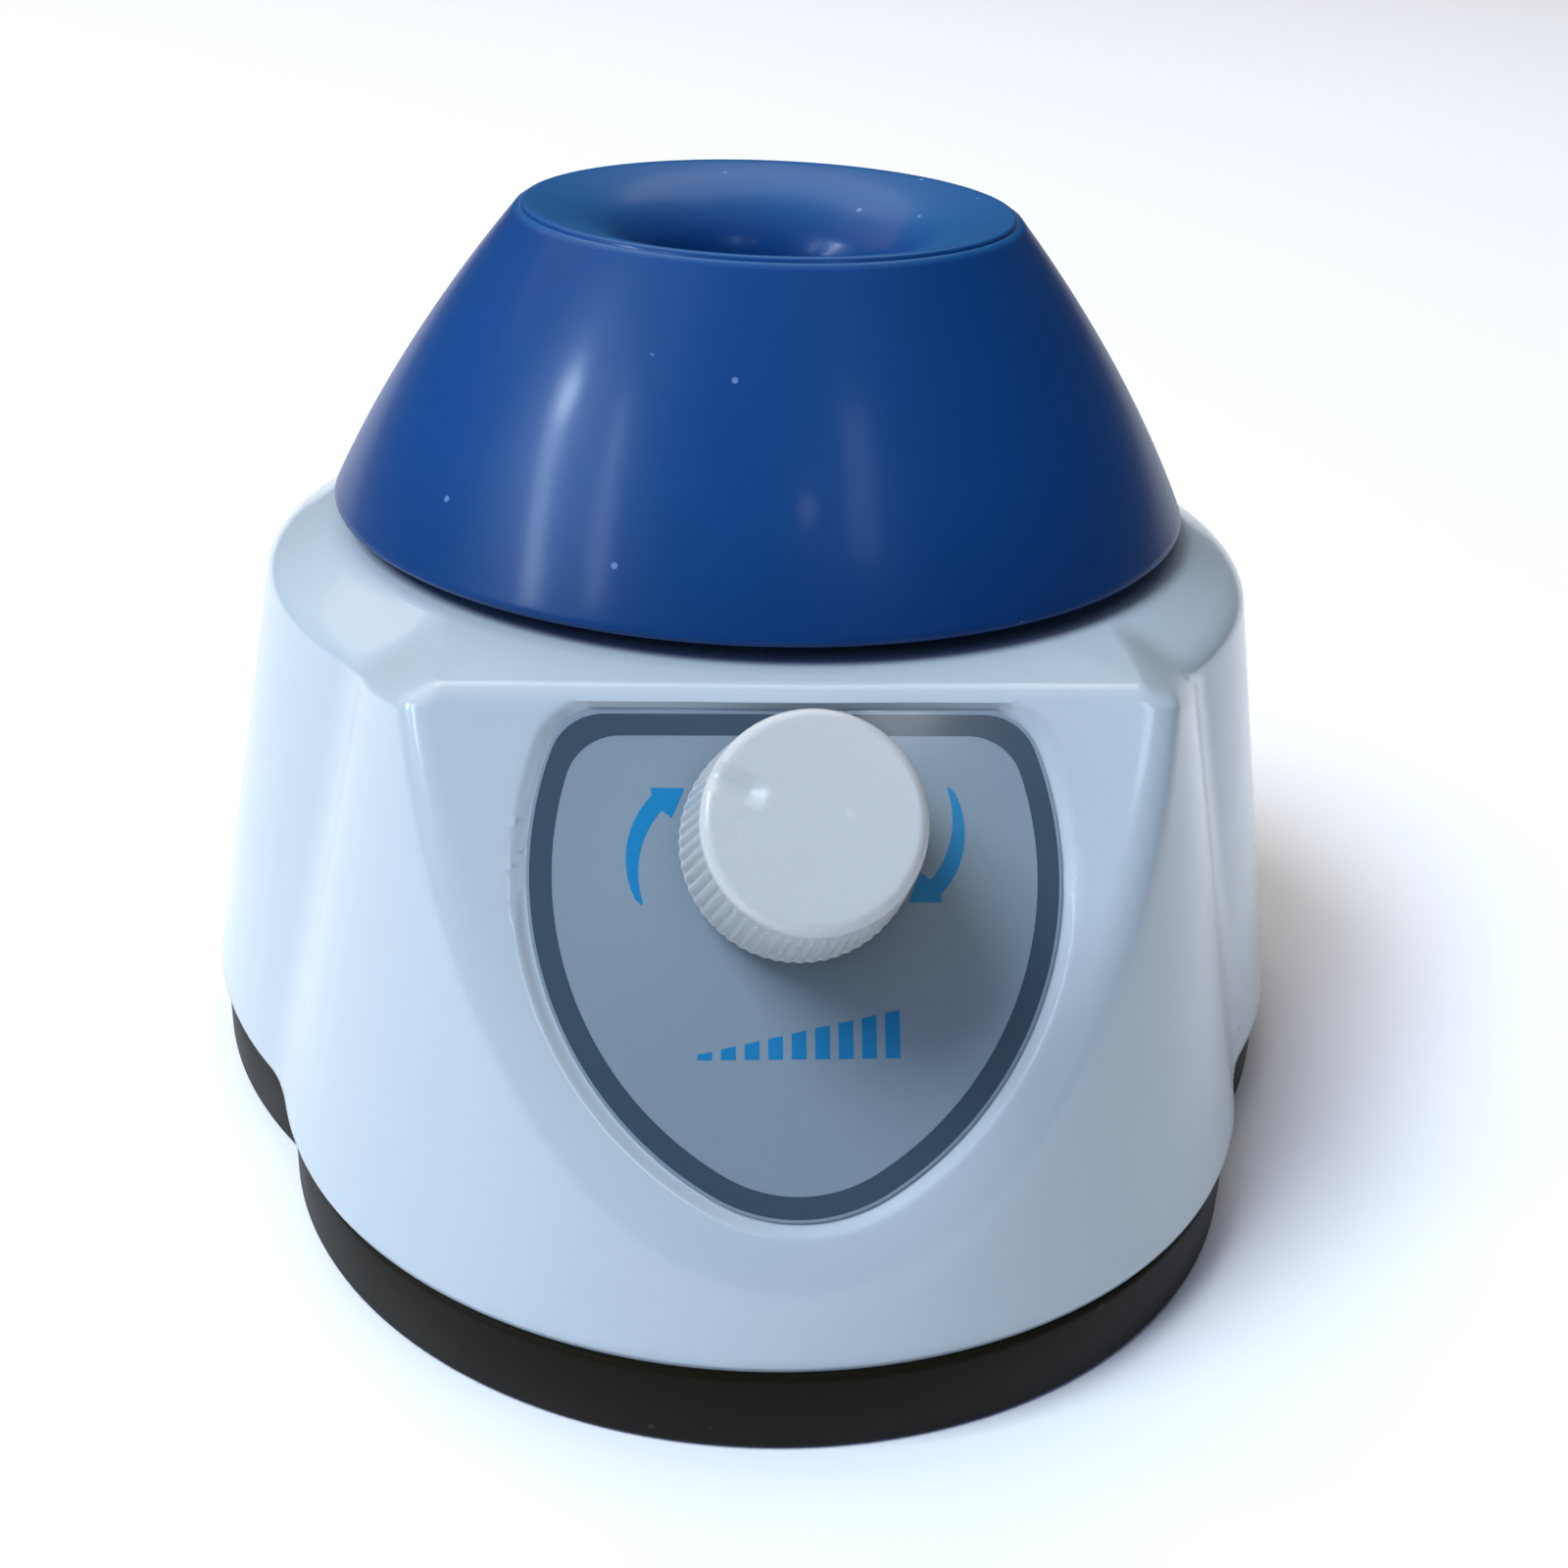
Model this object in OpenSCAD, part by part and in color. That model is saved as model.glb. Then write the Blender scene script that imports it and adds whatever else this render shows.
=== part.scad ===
// Vortex mixer: a round moulded casing with a sloping control nose, a weighted
// base, and a rubber cup that an eccentric drives round a small circle.
// Millimetres. +Z is up, the control nose points to -Y, and the origin is on the
// bench under the middle of the footprint.

/* [Casing] */
// Radius of the round casing at its lower edge
body_r = 57; // [47:1:69]
// Height of the deck under the cup
deck_z = 54.8; // [54:0.2:66]
// Draft of the casing's side, in mm for each mm of height
body_draft = 0.185; // [0.1:0.005:0.25]
// Wall thickness of the casing
wall = 2.5; // [2:0.1:3]

/* [Control nose] */
// How far the nose's front stands out beyond the round casing, at the lower edge
nose_out = 16.8; // [13:0.2:21]
// Radius of the nose's round front at its lower edge
nose_r = 46.8; // [39:0.2:57]
// Tilt of the control face from upright, in degrees
face_tilt = 35; // [30:1:40]

/* [Base] */
// Height of the casing's lower edge above the bench
base_z = 7.6; // [7:0.1:10]
// Height by which the rubber feet lift the tray
foot_lift = 1; // [0.6:0.1:1.6]
// Thickness of the steel ballast plate
ballast_t = 3; // [2:0.5:3.5]

/* [Cup] */
// Radius of the cup's lower edge
cup_r = 42.5; // [35:0.5:51]
// Radius of the cup's rim
rim_r = 23.9; // [20:0.1:28]
// Height of the cup, from its lower edge to its rim
cup_h = 27.8; // [25:0.2:34]
// Radius of the tube well at its mouth
well_r = 12; // [10:0.5:14.5]
// Distance of the eccentric pin from the motor's axis
throw = 1.5; // [1:0.25:2.5]

/* [Knob] */
// Radius of the knob at the control face
knob_r = 9.7; // [8.5:0.1:12]
// Height of the knob
knob_h = 14.5; // [12:0.5:18]

/* [Motor] */
// Radius of the motor's can
motor_r = 14; // [12:0.5:17]
// Length of the motor's can
motor_l = 29; // [24:1:30]
// Radius of the motor's shaft
shaft_r = 1.6; // [1.2:0.1:2.5]

/* [Hidden] */

// Clearances
run_gap = 0.05;      // a shaft in its bush, a ball in its race
seat_gap = 0.05;     // a part in the seat of another part of its own body
pass_gap = 0.3;      // a part that moves past another

// Smoothness of round parts
round_fn = 96;
small_fn = 48;

// ---- Casing skin ----
shoulder_slope = 1.88;           // mm outwards for each mm down
edge_round = 0.6;                // height of the rounded lower edge
deck_round = 1.4;                // height of the rounding round the deck
nose_y = body_r + nose_out - nose_r;  // centre of the nose's round front, ahead of the drive axis
nose_draft = 0.215;
nose_top_half = 30;              // half the width of the nose's flat top
nose_reach = 88;                 // angle from straight ahead at which the nose is inside the body
skin_segments = 96;

// ---- Control face, label and potentiometer ----
label_drop = 35.4;               // depth of the label's lowest point below the deck
label_z = deck_z - label_drop;
face_cut = 1.66;                 // depth of the control face into the nose's front at that point
label_f = nose_y + nose_r - nose_draft * (label_z - base_z) - face_cut;
label_half = 21.9;               // half the label's width
label_h = 41.3;                  // height of the label along the face
label_wide_s = 28;               // distance up the face at which it is widest
label_tip_r = 14;                // radius of its rounded lower tip
label_corner_r = 4.5;
label_t = 0.25;
recess_t = 0.8;
knob_s = 30.2;                   // distance of the knob's axis up the face
pot_seat = 2.6;                  // depth of the potentiometer's seat behind the face
pot_r = 8.2;
pot_l = 8;
bush_r = 3.5;
bush_h = 3.6;
spindle_r = 3;
spindle_h = 13.3;
pot_washer_t = 0.45;
pot_nut_t = 2;

// ---- Base ----
tray_floor = 2.4;
tray_inset = 0.6;                // tray's round side inside the casing's
tray_nose_out = 0.5;             // tray's nose in front of the casing's
tray_nose_in = 1.2;              // how much smaller the tray nose's radius is
rim_t = wall + 1.5;              // width of the rim that the casing stands on
tongue_t = 1.6;                  // tongue that locates the casing
tongue_h = 1.4;
floor_z = foot_lift + tray_floor;
ballast_z = floor_z + ballast_t;
post_r = 4;                      // casing posts for the base screws
post_top = 32;
post_angles = [38, -38, 130, -130];
post_sink = 1;                   // how far a post runs into the casing's wall
screw_r = 1.5;
screw_head_r = 3;
screw_head_t = 1.4;
foot_r = 6;
foot_sink = 0.8;
foot_in = 12.5;                  // foot centre inside the tray's edge
foot_angles = [24, -24, 155, -155];

// ---- Drive, from the deck downwards ----
axis_y = (nose_y + nose_r + tray_nose_out - body_r + body_draft * edge_round) / 2;
deck_t = wall;
guide_flange = 1.5;              // depth of the guide ring's seat in the deck
guide_spigot = 3;
guide_r = 26;                    // radius of the deck's opening
guide_lip = 2;
guide_up = 0.8;                  // how far the guide ring stands above the deck
guide_z = deck_z - guide_flange; // seat of the guide ring
weight_r = 22;
weight_t = 3.6;
hub_t = 4.6;
hub_r = 8;
hub_z = guide_z - guide_spigot - hub_t - pass_gap;
plate_t = 2;
plate_gap = 2.2;                 // room over the plate for the motor screws' heads
plate_z = hub_z - plate_gap - plate_t;
plate_r = 20;
plate_post_r = 4;
plate_post_ring = 33;
plate_angles = [60, 180, 300];
damper_r = 4.6;
damper_t = 2.3;
low_damper_t = 1.6;
plate_screw_r = 1.6;
motor_screw_r = 1.25;
motor_screw_x = 8;
motor_boss_r = 5;
motor_boss_h = 3;
end_cap_t = 3;

// ---- Bearing and cup, from the deck upwards ----
cup_gap = 2.2;                   // deck to the cup's lower edge
cup_z = deck_z + cup_gap;
bearing_z = cup_z + 1.2;
bearing_h = 5;
bearing_r = 8;
bearing_pin_r = 4;
ball_r = 1.2;
ball_ring = (bearing_r + bearing_pin_r) / 2;
ball_count = 9;
ball_gap = 0.08;
race_gap = 0.7;                  // half the gap between the two rings
hub_flange_t = 2.1;
hub_flange_r = 23.5;
cup_hub_r = 12;
cup_hub_h = 8.4;
cup_hub_z = cup_z + 0.9;
guide_pin_r = 2.5;
guide_pin_ring = 19.5;
guide_pin_l = 5.6;
guide_angles = [0, 120, 240];
cup_bulge = 1.3;                 // how far the cup's side bows outwards
cup_wall = 4.2;
cup_steps = 16;
well_floor = 2.6;
rim_lip = 0.6;
skirt_h = 0.5;                   // band that hangs below the cup's side
skirt_in = 0.15;                 // how far its lower edge stands in

// ---- Power socket ----
socket_z = 18;
socket_r = 4;
socket_l = 13;
socket_flange_r = 5.6;
socket_flange_t = 1.6;
socket_bore_r = 2.8;
socket_pin_r = 1;
socket_nut_t = 2;

// ---- Circuit board ----
board_x = 44;
board_y = 26;
board_t = 1.6;
board_lift = 5.6;
board_z = ballast_z + board_lift;
board_back = motor_r + 10;       // distance of its rear edge ahead of the drive axis
pillar_r = 2.4;
pillar_in = 3.2;

// Smooth minimum and maximum: k is the width over which the two blend
function blend_in(a, b, k) =
    let (h = max(0, min(1, 0.5 + 0.5 * (b - a) / k))) b + (a - b) * h - k * h * (1 - h);
function blend_out(a, b, k) = -blend_in(-a, -b, k);

function spread(low, high, n) = [for (i = [0 : n]) low + (high - low) * i / n];

// The round body: a drafted side under a shallow shoulder
function body_side(z) = body_r - body_draft * (z - base_z);
function shoulder(z) = cup_r + (deck_z - z) * shoulder_slope;

// The nose: a round drafted front, the sloping control face, and a flat top with
// a shoulder on each side. Each gives the distance from the drive axis at angle a
// from straight ahead. Where a ray misses the round front, the body's side is further out.
function nose_front(a, z) =
    let (r = nose_r - nose_draft * (z - base_z), x = nose_y * sin(a))
    nose_y * cos(a) + sqrt(max(0, r * r - x * x));
function face_f(z) = label_f + (label_z - z) * tan(face_tilt);
function nose_side(a, z) =
    (nose_top_half + (deck_z - z) * shoulder_slope) / max(0.2, sin(abs(a)));
function nose(a, z) =
    abs(a) > nose_reach ? 0 :
    blend_in(blend_in(nose_front(a, z), face_f(z) / cos(a), 2.2), nose_side(a, z), 2);

function skin_r(a, z) =
    blend_out(blend_in(body_side(z), shoulder(z), 2), nose(a, z), 2)
    - 0.5 * max(0, base_z + edge_round - z)
    - pow(max(0, z + deck_round - deck_z), 2) / (2.4 * deck_round);
function cavity_r(a, z) = skin_r(a, z + wall) - 0.9 * wall;

// A closed solid with one ring of the skin, or of the cavity, for each height in zs
module ring_solid(zs, outside) {
    n = skin_segments;
    m = len(zs);
    points = [for (z = zs) for (j = [0 : n - 1])
        let (a = 360 * j / n - 180, r = outside ? skin_r(a, z) : cavity_r(a, z))
        [r * sin(a), -r * cos(a), z]];
    sides = [for (i = [0 : m - 2]) for (j = [0 : n - 1])
        let (p = i * n + j, q = i * n + (j + 1) % n)
        each [[p, p + n, q + n], [p, q + n, q]]];
    bottom = [for (j = [0 : n - 1]) j];
    top = [for (j = [n - 1 : -1 : 0]) (m - 1) * n + j];
    polyhedron(points, concat([bottom], sides, [top]), convexity = 6);
}

// Places children on the drive axis, at angle a from straight ahead and radius r
module on_axis() { translate([0, axis_y, 0]) children(); }
module around(a, r) { translate([r * sin(a), -r * cos(a), 0]) children(); }
// Places children on the control face, s mm up from the label's lowest point, +Z outwards
module on_face(s) {
    on_axis()
    translate([0, -label_f + s * sin(face_tilt), label_z + s * cos(face_tilt)])
    rotate([90 - face_tilt, 0, 0])
    children();
}
module tube(r, hole, z, h) {
    translate([0, 0, z])
    difference() {
        cylinder(h = h, r = r, $fn = small_fn);
        translate([0, 0, -1]) cylinder(h = h + 2, r = hole, $fn = small_fn);
    }
}
module rod(r, z, h, fn = small_fn) { translate([0, 0, z]) cylinder(h = h, r = r, $fn = fn); }
module pan_screw(head_r, head_t, shank_r, shank_l) {
    union() {
        rod(head_r, 0, head_t);
        rod(shank_r, head_t - 0.01, shank_l + 0.01);
    }
}

// The label's outline: a round tip, two wide side arcs and a flat top, inset by d
side_arc_r = (pow(label_half, 2) + pow(label_wide_s - label_tip_r, 2) - pow(label_tip_r, 2))
    / (2 * (label_half - label_tip_r));
module label_outline(d) {
    shift = side_arc_r - label_half;
    top = label_h - d;
    tip = label_tip_r - d;
    turn = atan2(label_wide_s - label_tip_r, shift);
    join_u = tip * cos(turn);
    join_s = label_tip_r - tip * sin(turn);
    side = side_arc_r - d;
    corner = label_corner_r;
    corner_s = top - corner;
    corner_u = sqrt(pow(side - corner, 2) - pow(corner_s - label_wide_s, 2)) - shift;
    rise = atan2(corner_s - label_wide_s, corner_u + shift);
    right = concat(
        [for (a = spread(-90, -turn, 8)) [tip * cos(a), label_tip_r + tip * sin(a)]],
        [for (a = spread(-turn, rise, 14)) [side * cos(a) - shift, label_wide_s + side * sin(a)]],
        [for (a = spread(rise, 90, 6)) [corner_u + corner * cos(a), corner_s + corner * sin(a)]]);
    n = len(right);
    polygon(concat(right, [for (i = [n - 1 : -1 : 1]) [-right[i][0], right[i][1]]]));
}

// ---- Casing and base ----
outer_heights = concat(
    [base_z], spread(base_z + edge_round, deck_z - 9, 11),
    spread(deck_z - 7.5, deck_z - deck_round, 6), spread(deck_z - deck_round * 0.6, deck_z, 3));
inner_heights = concat(spread(base_z - 2, deck_z - wall - 8, 7), spread(deck_z - wall - 6, deck_z - wall, 4));
function post_ring(a) = cavity_r(a, post_top) - post_r + post_sink;

module housing() {
    color([0.86, 0.9, 0.96])
    difference() {
        union() {
            on_axis()
            difference() {
                ring_solid(outer_heights, true);
                ring_solid(inner_heights, false);
            }
            on_axis()
            for (a = post_angles)
                around(a, post_ring(a)) rod(post_r, floor_z, post_top - floor_z);
            on_axis()
            for (a = plate_angles)
                around(a, plate_post_ring)
                rod(plate_post_r, plate_z + plate_t + damper_t,
                    deck_z - deck_t - plate_z - plate_t - damper_t + 0.5);
        }
        on_axis() {
            rod(guide_r, deck_z - deck_t - 3, deck_t + 6, round_fn);
            rod(guide_r + guide_lip, guide_z, 5, round_fn);
            for (a = post_angles) around(a, post_ring(a)) rod(screw_r + seat_gap, floor_z - 1, 15);
            for (a = plate_angles)
                around(a, plate_post_ring) rod(plate_screw_r + seat_gap, plate_z, deck_z - plate_z - 2);
        }
        on_face(0)
        translate([0, 0, -recess_t])
        linear_extrude(5)
        label_outline(-0.15);
        on_face(knob_s) {
            rod(bush_r + seat_gap, -20, 40);
            rod(pot_r + 2.5, -pot_seat - 20, 20);
        }
        on_axis() socket_place() {
            rod(socket_r + seat_gap, -20, 40);
            rod(socket_flange_r + 0.3, 0, 10);
            rod(socket_flange_r + 1.5, -10 - wall, 10);
        }
    }
}

// The base tray's outline, inset by d
tray_body = body_r - tray_inset;
tray_nose = nose_r - tray_nose_in;
tray_nose_y = nose_y + tray_nose_in + tray_nose_out;
module tray_outline(d) {
    circle(r = tray_body - d, $fn = 2 * round_fn);
    translate([0, -tray_nose_y]) circle(r = tray_nose - d, $fn = 2 * round_fn);
}
function tray_edge(a) =
    abs(a) > 90 ? tray_body
    : tray_nose_y * cos(a) + sqrt(pow(tray_nose, 2) - pow(tray_nose_y * sin(a), 2));
module foot_place() {
    for (a = foot_angles) around(a, tray_edge(a) - foot_in) children();
}

module base_tray() {
    color([0.17, 0.15, 0.12])
    on_axis()
    difference() {
        union() {
            translate([0, 0, foot_lift]) linear_extrude(base_z - foot_lift) tray_outline(0);
            translate([0, 0, floor_z]) linear_extrude(base_z + tongue_h - floor_z) tray_outline(rim_t);
        }
        translate([0, 0, floor_z]) linear_extrude(20) tray_outline(rim_t + tongue_t);
        foot_place() rod(foot_r + seat_gap, -1, foot_lift + foot_sink + 1);
        for (a = post_angles)
            around(a, post_ring(a)) {
                rod(screw_r + 0.2, 0, 10);
                rod(screw_head_r + 0.3, 0, foot_lift + screw_head_t);
                rod(post_r + pass_gap, floor_z, 20);
            }
    }
}

module feet() {
    color([0.1, 0.1, 0.1])
    on_axis()
    foot_place()
    difference() {
        rod(foot_r, 0, foot_lift + foot_sink);
        rod(foot_r - 2.5, -1, 1.3);
    }
}

module ballast_plate() {
    color([0.55, 0.56, 0.58])
    on_axis()
    translate([0, 0, floor_z])
    linear_extrude(ballast_t)
    difference() {
        tray_outline(rim_t + tongue_t + 0.5);
        for (a = post_angles) around(a, post_ring(a)) circle(r = post_r + 0.4, $fn = small_fn);
    }
}

module base_screws() {
    color([0.75, 0.75, 0.77])
    on_axis()
    for (a = post_angles)
        around(a, post_ring(a))
        translate([0, 0, foot_lift])
        pan_screw(screw_head_r, screw_head_t, screw_r, 13);
}

// ---- Label, potentiometer and knob ----
module front_label() {
    color([0.5, 0.57, 0.68])
    on_face(0)
    translate([0, 0, -recess_t])
    linear_extrude(label_t)
    difference() {
        label_outline(0);
        translate([0, knob_s]) circle(r = bush_r + 0.2, $fn = small_fn);
    }
}

module pot_body() {
    color([0.35, 0.45, 0.35])
    on_face(knob_s)
    difference() {
        union() {
            rod(pot_r, -pot_seat - pot_l, pot_l - seat_gap);
            rod(bush_r, -pot_seat - 1, pot_seat + 1 + bush_h);
            translate([-6, -pot_r - 5, -pot_seat - 3.5]) cube([12, 8, 1.6]);
        }
        rod(spindle_r + run_gap, -pot_seat - pot_l + 1, 30);
    }
}

module pot_washer() {
    color([0.8, 0.8, 0.8])
    on_face(knob_s)
    tube(bush_r + 2.6, bush_r + seat_gap, label_t - recess_t, pot_washer_t);
}

module pot_nut() {
    color([0.8, 0.8, 0.8])
    on_face(knob_s)
    translate([0, 0, label_t - recess_t + pot_washer_t])
    difference() {
        cylinder(h = pot_nut_t, r = bush_r + 2.3, $fn = 6);
        rod(bush_r + seat_gap, -1, pot_nut_t + 2);
    }
}

module pot_shaft() {
    color([0.85, 0.85, 0.85])
    on_face(knob_s)
    rod(spindle_r, -pot_seat - pot_l + 1.2, spindle_h + pot_seat + pot_l - 1.2);
}

knob_up = 1;             // gap between the knob and the label
knob_taper = 1.1;        // how much smaller the knob's front is, in radius
knob_edge = 0.9;         // rounding of its front edge
flute_count = 60;
flute_t = 0.4;
pointer_turn = 65;       // rest position of the pointer, left of straight up

module knob_section() {
    top = knob_up + knob_h;
    front = knob_r - knob_taper;
    polygon(concat(
        [[0, knob_up], [knob_r, knob_up], [knob_r, knob_up + 0.6]],
        [for (a = spread(0, 90, 6)) [front - knob_edge + knob_edge * cos(a),
                                     top - knob_edge + knob_edge * sin(a)]],
        [[0, top]]));
}
module speed_knob() {
    color([0.88, 0.88, 0.9])
    on_face(knob_s)
    difference() {
        intersection() {
            rotate_extrude($fn = round_fn) knob_section();
            union() {
                linear_extrude(knob_up + knob_h - knob_edge)
                polygon([for (i = [0 : 4 * flute_count - 1])
                    let (a = 90 * i / flute_count,
                         r = (i % 4 < 2) ? knob_r + 0.01 : knob_r - flute_t)
                    [r * cos(a), r * sin(a)]]);
                rod(knob_r - knob_taper - 0.25, knob_up, knob_h + 1, round_fn);
            }
        }
        rod(spindle_r + seat_gap, 0, spindle_h + 0.4);
        rod(bush_r + 3.4, 0, bush_h + 0.7);
        // Pointer: a soft groove from the edge to halfway in
        rotate([0, 0, pointer_turn])
        translate([0, knob_r - 5.2, knob_up + knob_h + 3.4])
        rotate([-90, 0, 0])
        cylinder(h = 8, r = 4, $fn = small_fn);
    }
}

// ---- Circuit board ----
module board_corners() {
    for (x = [-1, 1], y = [0, 1])
        translate([x * (board_x / 2 - pillar_in),
                   -board_back - pillar_in - y * (board_y - 2 * pillar_in), 0])
        children();
}
module circuit_board() {
    color([0.1, 0.4, 0.2])
    on_axis()
    difference() {
        translate([-board_x / 2, -board_back - board_y, board_z]) cube([board_x, board_y, board_t]);
        board_corners() rod(1.4, board_z - 1, board_t + 2);
    }
}
module board_pillars() {
    color([0.8, 0.7, 0.4])
    on_axis()
    board_corners()
    tube(pillar_r, 1.25, ballast_z, board_lift);
}
module board_screws() {
    color([0.75, 0.75, 0.77])
    on_axis()
    board_corners()
    translate([0, 0, board_z + board_t + 1.2])
    mirror([0, 0, 1])
    pan_screw(2.3, 1.2, 1.2, board_t + 4);
}
module board_capacitor() {
    color([0.15, 0.2, 0.35])
    on_axis()
    translate([-9, -board_back - board_y / 2, board_z + board_t])
    difference() {
        rod(4, 0, 11);
        tube(4.5, 3.7, 1.2, 0.7);
    }
}
module board_transistor() {
    color([0.2, 0.2, 0.22])
    on_axis()
    translate([2, -board_back - board_y / 2, board_z + board_t]) {
        translate([0, 2.1, 0]) cube([10, 1.4, 13]);
        for (i = [0 : 3]) translate([0.4 + 2.8 * i, 3.4, 0]) cube([0.9, 4, 13]);
        translate([0.2, -2.3, 0]) cube([9.6, 4.4, 9]);
    }
}
module board_terminals() {
    color([0.1, 0.45, 0.25])
    on_axis()
    translate([-6, -board_back - board_y + 1, board_z + board_t])
    difference() {
        cube([15, 6.5, 8]);
        for (i = [0 : 2]) translate([2.5 + 5 * i, 3.2, 3]) cylinder(h = 6, r = 1.7, $fn = small_fn);
    }
}

// ---- Motor and its plate ----
module motor_can() {
    color([0.7, 0.71, 0.73])
    on_axis()
    difference() {
        union() {
            rod(motor_r, plate_z - motor_l, motor_l, round_fn);
            rod(motor_boss_r, plate_z - 1, motor_boss_h + 1);
        }
        rod(shaft_r + run_gap, plate_z - motor_l - 1, motor_l + 10);
        for (x = [-1, 1])
            translate([x * motor_screw_x, 0, 0]) rod(motor_screw_r + seat_gap, plate_z - 4, 5);
    }
}
module motor_end_cap() {
    color([0.12, 0.12, 0.12])
    on_axis()
    translate([0, 0, plate_z - motor_l - end_cap_t])
    difference() {
        union() {
            rod(motor_r - 0.6, 0, end_cap_t, round_fn);
            for (x = [-1, 1]) translate([x * (motor_r - 4) - 1.5, -0.4, -1.6]) cube([3, 0.8, 2]);
        }
        rod(shaft_r + run_gap, 0.8, end_cap_t);
    }
}
module motor_plate() {
    color([0.6, 0.62, 0.64])
    on_axis()
    translate([0, 0, plate_z])
    linear_extrude(plate_t)
    difference() {
        union() {
            circle(r = plate_r, $fn = round_fn);
            for (a = plate_angles)
                rotate(a - 90) {
                    translate([0, -6]) square([plate_post_ring, 12]);
                    translate([plate_post_ring, 0]) circle(r = 6, $fn = small_fn);
                }
        }
        circle(r = motor_boss_r + seat_gap, $fn = small_fn);
        for (x = [-1, 1]) translate([x * motor_screw_x, 0]) circle(r = motor_screw_r + 0.1, $fn = small_fn);
        for (a = plate_angles) around(a, plate_post_ring) circle(r = plate_screw_r + 0.5, $fn = small_fn);
    }
}
module motor_screws() {
    color([0.75, 0.75, 0.77])
    on_axis()
    for (x = [-1, 1])
        translate([x * motor_screw_x, 0, plate_z + plate_t + 1.5])
        mirror([0, 0, 1])
        pan_screw(2.2, 1.5, motor_screw_r, plate_t + 3);
}
module plate_dampers() {
    color([0.1, 0.1, 0.1])
    on_axis()
    for (a = plate_angles)
        around(a, plate_post_ring) {
            tube(damper_r, plate_screw_r + 0.3, plate_z + plate_t, damper_t);
            tube(damper_r, plate_screw_r + 0.3, plate_z - low_damper_t, low_damper_t);
        }
}
module plate_screws() {
    color([0.75, 0.75, 0.77])
    on_axis()
    for (a = plate_angles)
        around(a, plate_post_ring)
        translate([0, 0, plate_z - low_damper_t - 2])
        pan_screw(3.1, 2, plate_screw_r, deck_z - plate_z - 2);
}

// ---- Turning parts, with the offset pin behind the motor's axis ----
module on_pin() { on_axis() translate([0, throw, 0]) children(); }
module motor_shaft() {
    color([0.8, 0.8, 0.82])
    on_axis()
    rod(shaft_r, plate_z - motor_l - end_cap_t + 1, hub_z + hub_t - 0.6 - plate_z + motor_l + end_cap_t - 1);
}
module eccentric() {
    color([0.78, 0.65, 0.35])
    difference() {
        union() {
            on_axis() rod(hub_r, hub_z, hub_t);
            on_axis()
            intersection() {
                rod(weight_r, hub_z, weight_t, round_fn);
                translate([-weight_r, -weight_r - 1, hub_z - 1]) cube([2 * weight_r, weight_r - 1, weight_t + 2]);
            }
            on_pin() rod(bearing_pin_r + 1.2, hub_z + hub_t - 1, bearing_z - hub_z - hub_t + 1);
            on_pin() rod(bearing_pin_r, bearing_z - 1, bearing_h + 1 - seat_gap);
        }
        on_axis() rod(shaft_r + 0.02, hub_z - 1, hub_t + 0.6);
        on_pin() rod(1.25, bearing_z - 3, 20);
        on_axis() translate([0, 0, hub_z + 2.2]) rotate([-90, 0, 0]) rod(1.5, 0, 20);
    }
}
module grub_screw() {
    color([0.25, 0.25, 0.27])
    on_axis()
    translate([0, 0, hub_z + 2.2])
    rotate([-90, 0, 0])
    difference() {
        rod(1.45, shaft_r + 0.03, 5);
        translate([0, 0, shaft_r + 3.5]) cylinder(h = 3, r = 0.8, $fn = 6);
    }
}
module pin_washer() {
    color([0.75, 0.75, 0.77])
    on_pin()
    tube(bearing_pin_r + 0.9, 1.4, bearing_z + bearing_h, 0.7);
}
module pin_screw() {
    color([0.6, 0.6, 0.62])
    on_pin()
    translate([0, 0, bearing_z + bearing_h + 0.7 + 1.4])
    mirror([0, 0, 1])
    pan_screw(2.4, 1.4, 1.2, 5.5);
}

// ---- Ball bearing on the offset pin ----
module race(inner, outer) {
    on_pin()
    rotate_extrude($fn = round_fn)
    difference() {
        translate([inner, bearing_z]) square([outer - inner, bearing_h]);
        translate([ball_ring, bearing_z + bearing_h / 2]) circle(r = ball_r + ball_gap, $fn = small_fn);
    }
}
module bearing_inner() {
    color([0.82, 0.83, 0.85])
    race(bearing_pin_r + 0.02, ball_ring - race_gap);
}
module bearing_outer() {
    color([0.82, 0.83, 0.85])
    race(ball_ring + race_gap, bearing_r);
}
module bearing_balls() {
    color([0.9, 0.9, 0.92])
    on_pin()
    for (i = [0 : ball_count - 1])
        rotate(360 * i / ball_count)
        translate([ball_ring, 0, bearing_z + bearing_h / 2])
        sphere(r = ball_r, $fn = 24);
}

// ---- Cup, its hub and the guide ring ----
module cup_hub() {
    color([0.9, 0.9, 0.85])
    on_pin()
    difference() {
        union() {
            rod(cup_hub_r, cup_hub_z, cup_hub_h, round_fn);
            rod(hub_flange_r, cup_hub_z, hub_flange_t, round_fn);
            for (a = guide_angles)
                around(a, guide_pin_ring) rod(guide_pin_r, cup_hub_z - guide_pin_l, guide_pin_l + 1);
        }
        rod(bearing_r + 0.02, cup_hub_z - 1, bearing_z + bearing_h - cup_hub_z + 1 + seat_gap, round_fn);
        rod(bearing_pin_r + 2, cup_hub_z, cup_hub_h + 1);
        for (a = [60, 180, 300]) around(a, guide_pin_ring) rod(2.2, cup_hub_z - 1, hub_flange_t + 2);
    }
}

// Cup side: radius at fraction t of the height
function cup_side(t) = cup_r + (rim_r - cup_r) * t + 4 * cup_bulge * t * (1 - t);

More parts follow.
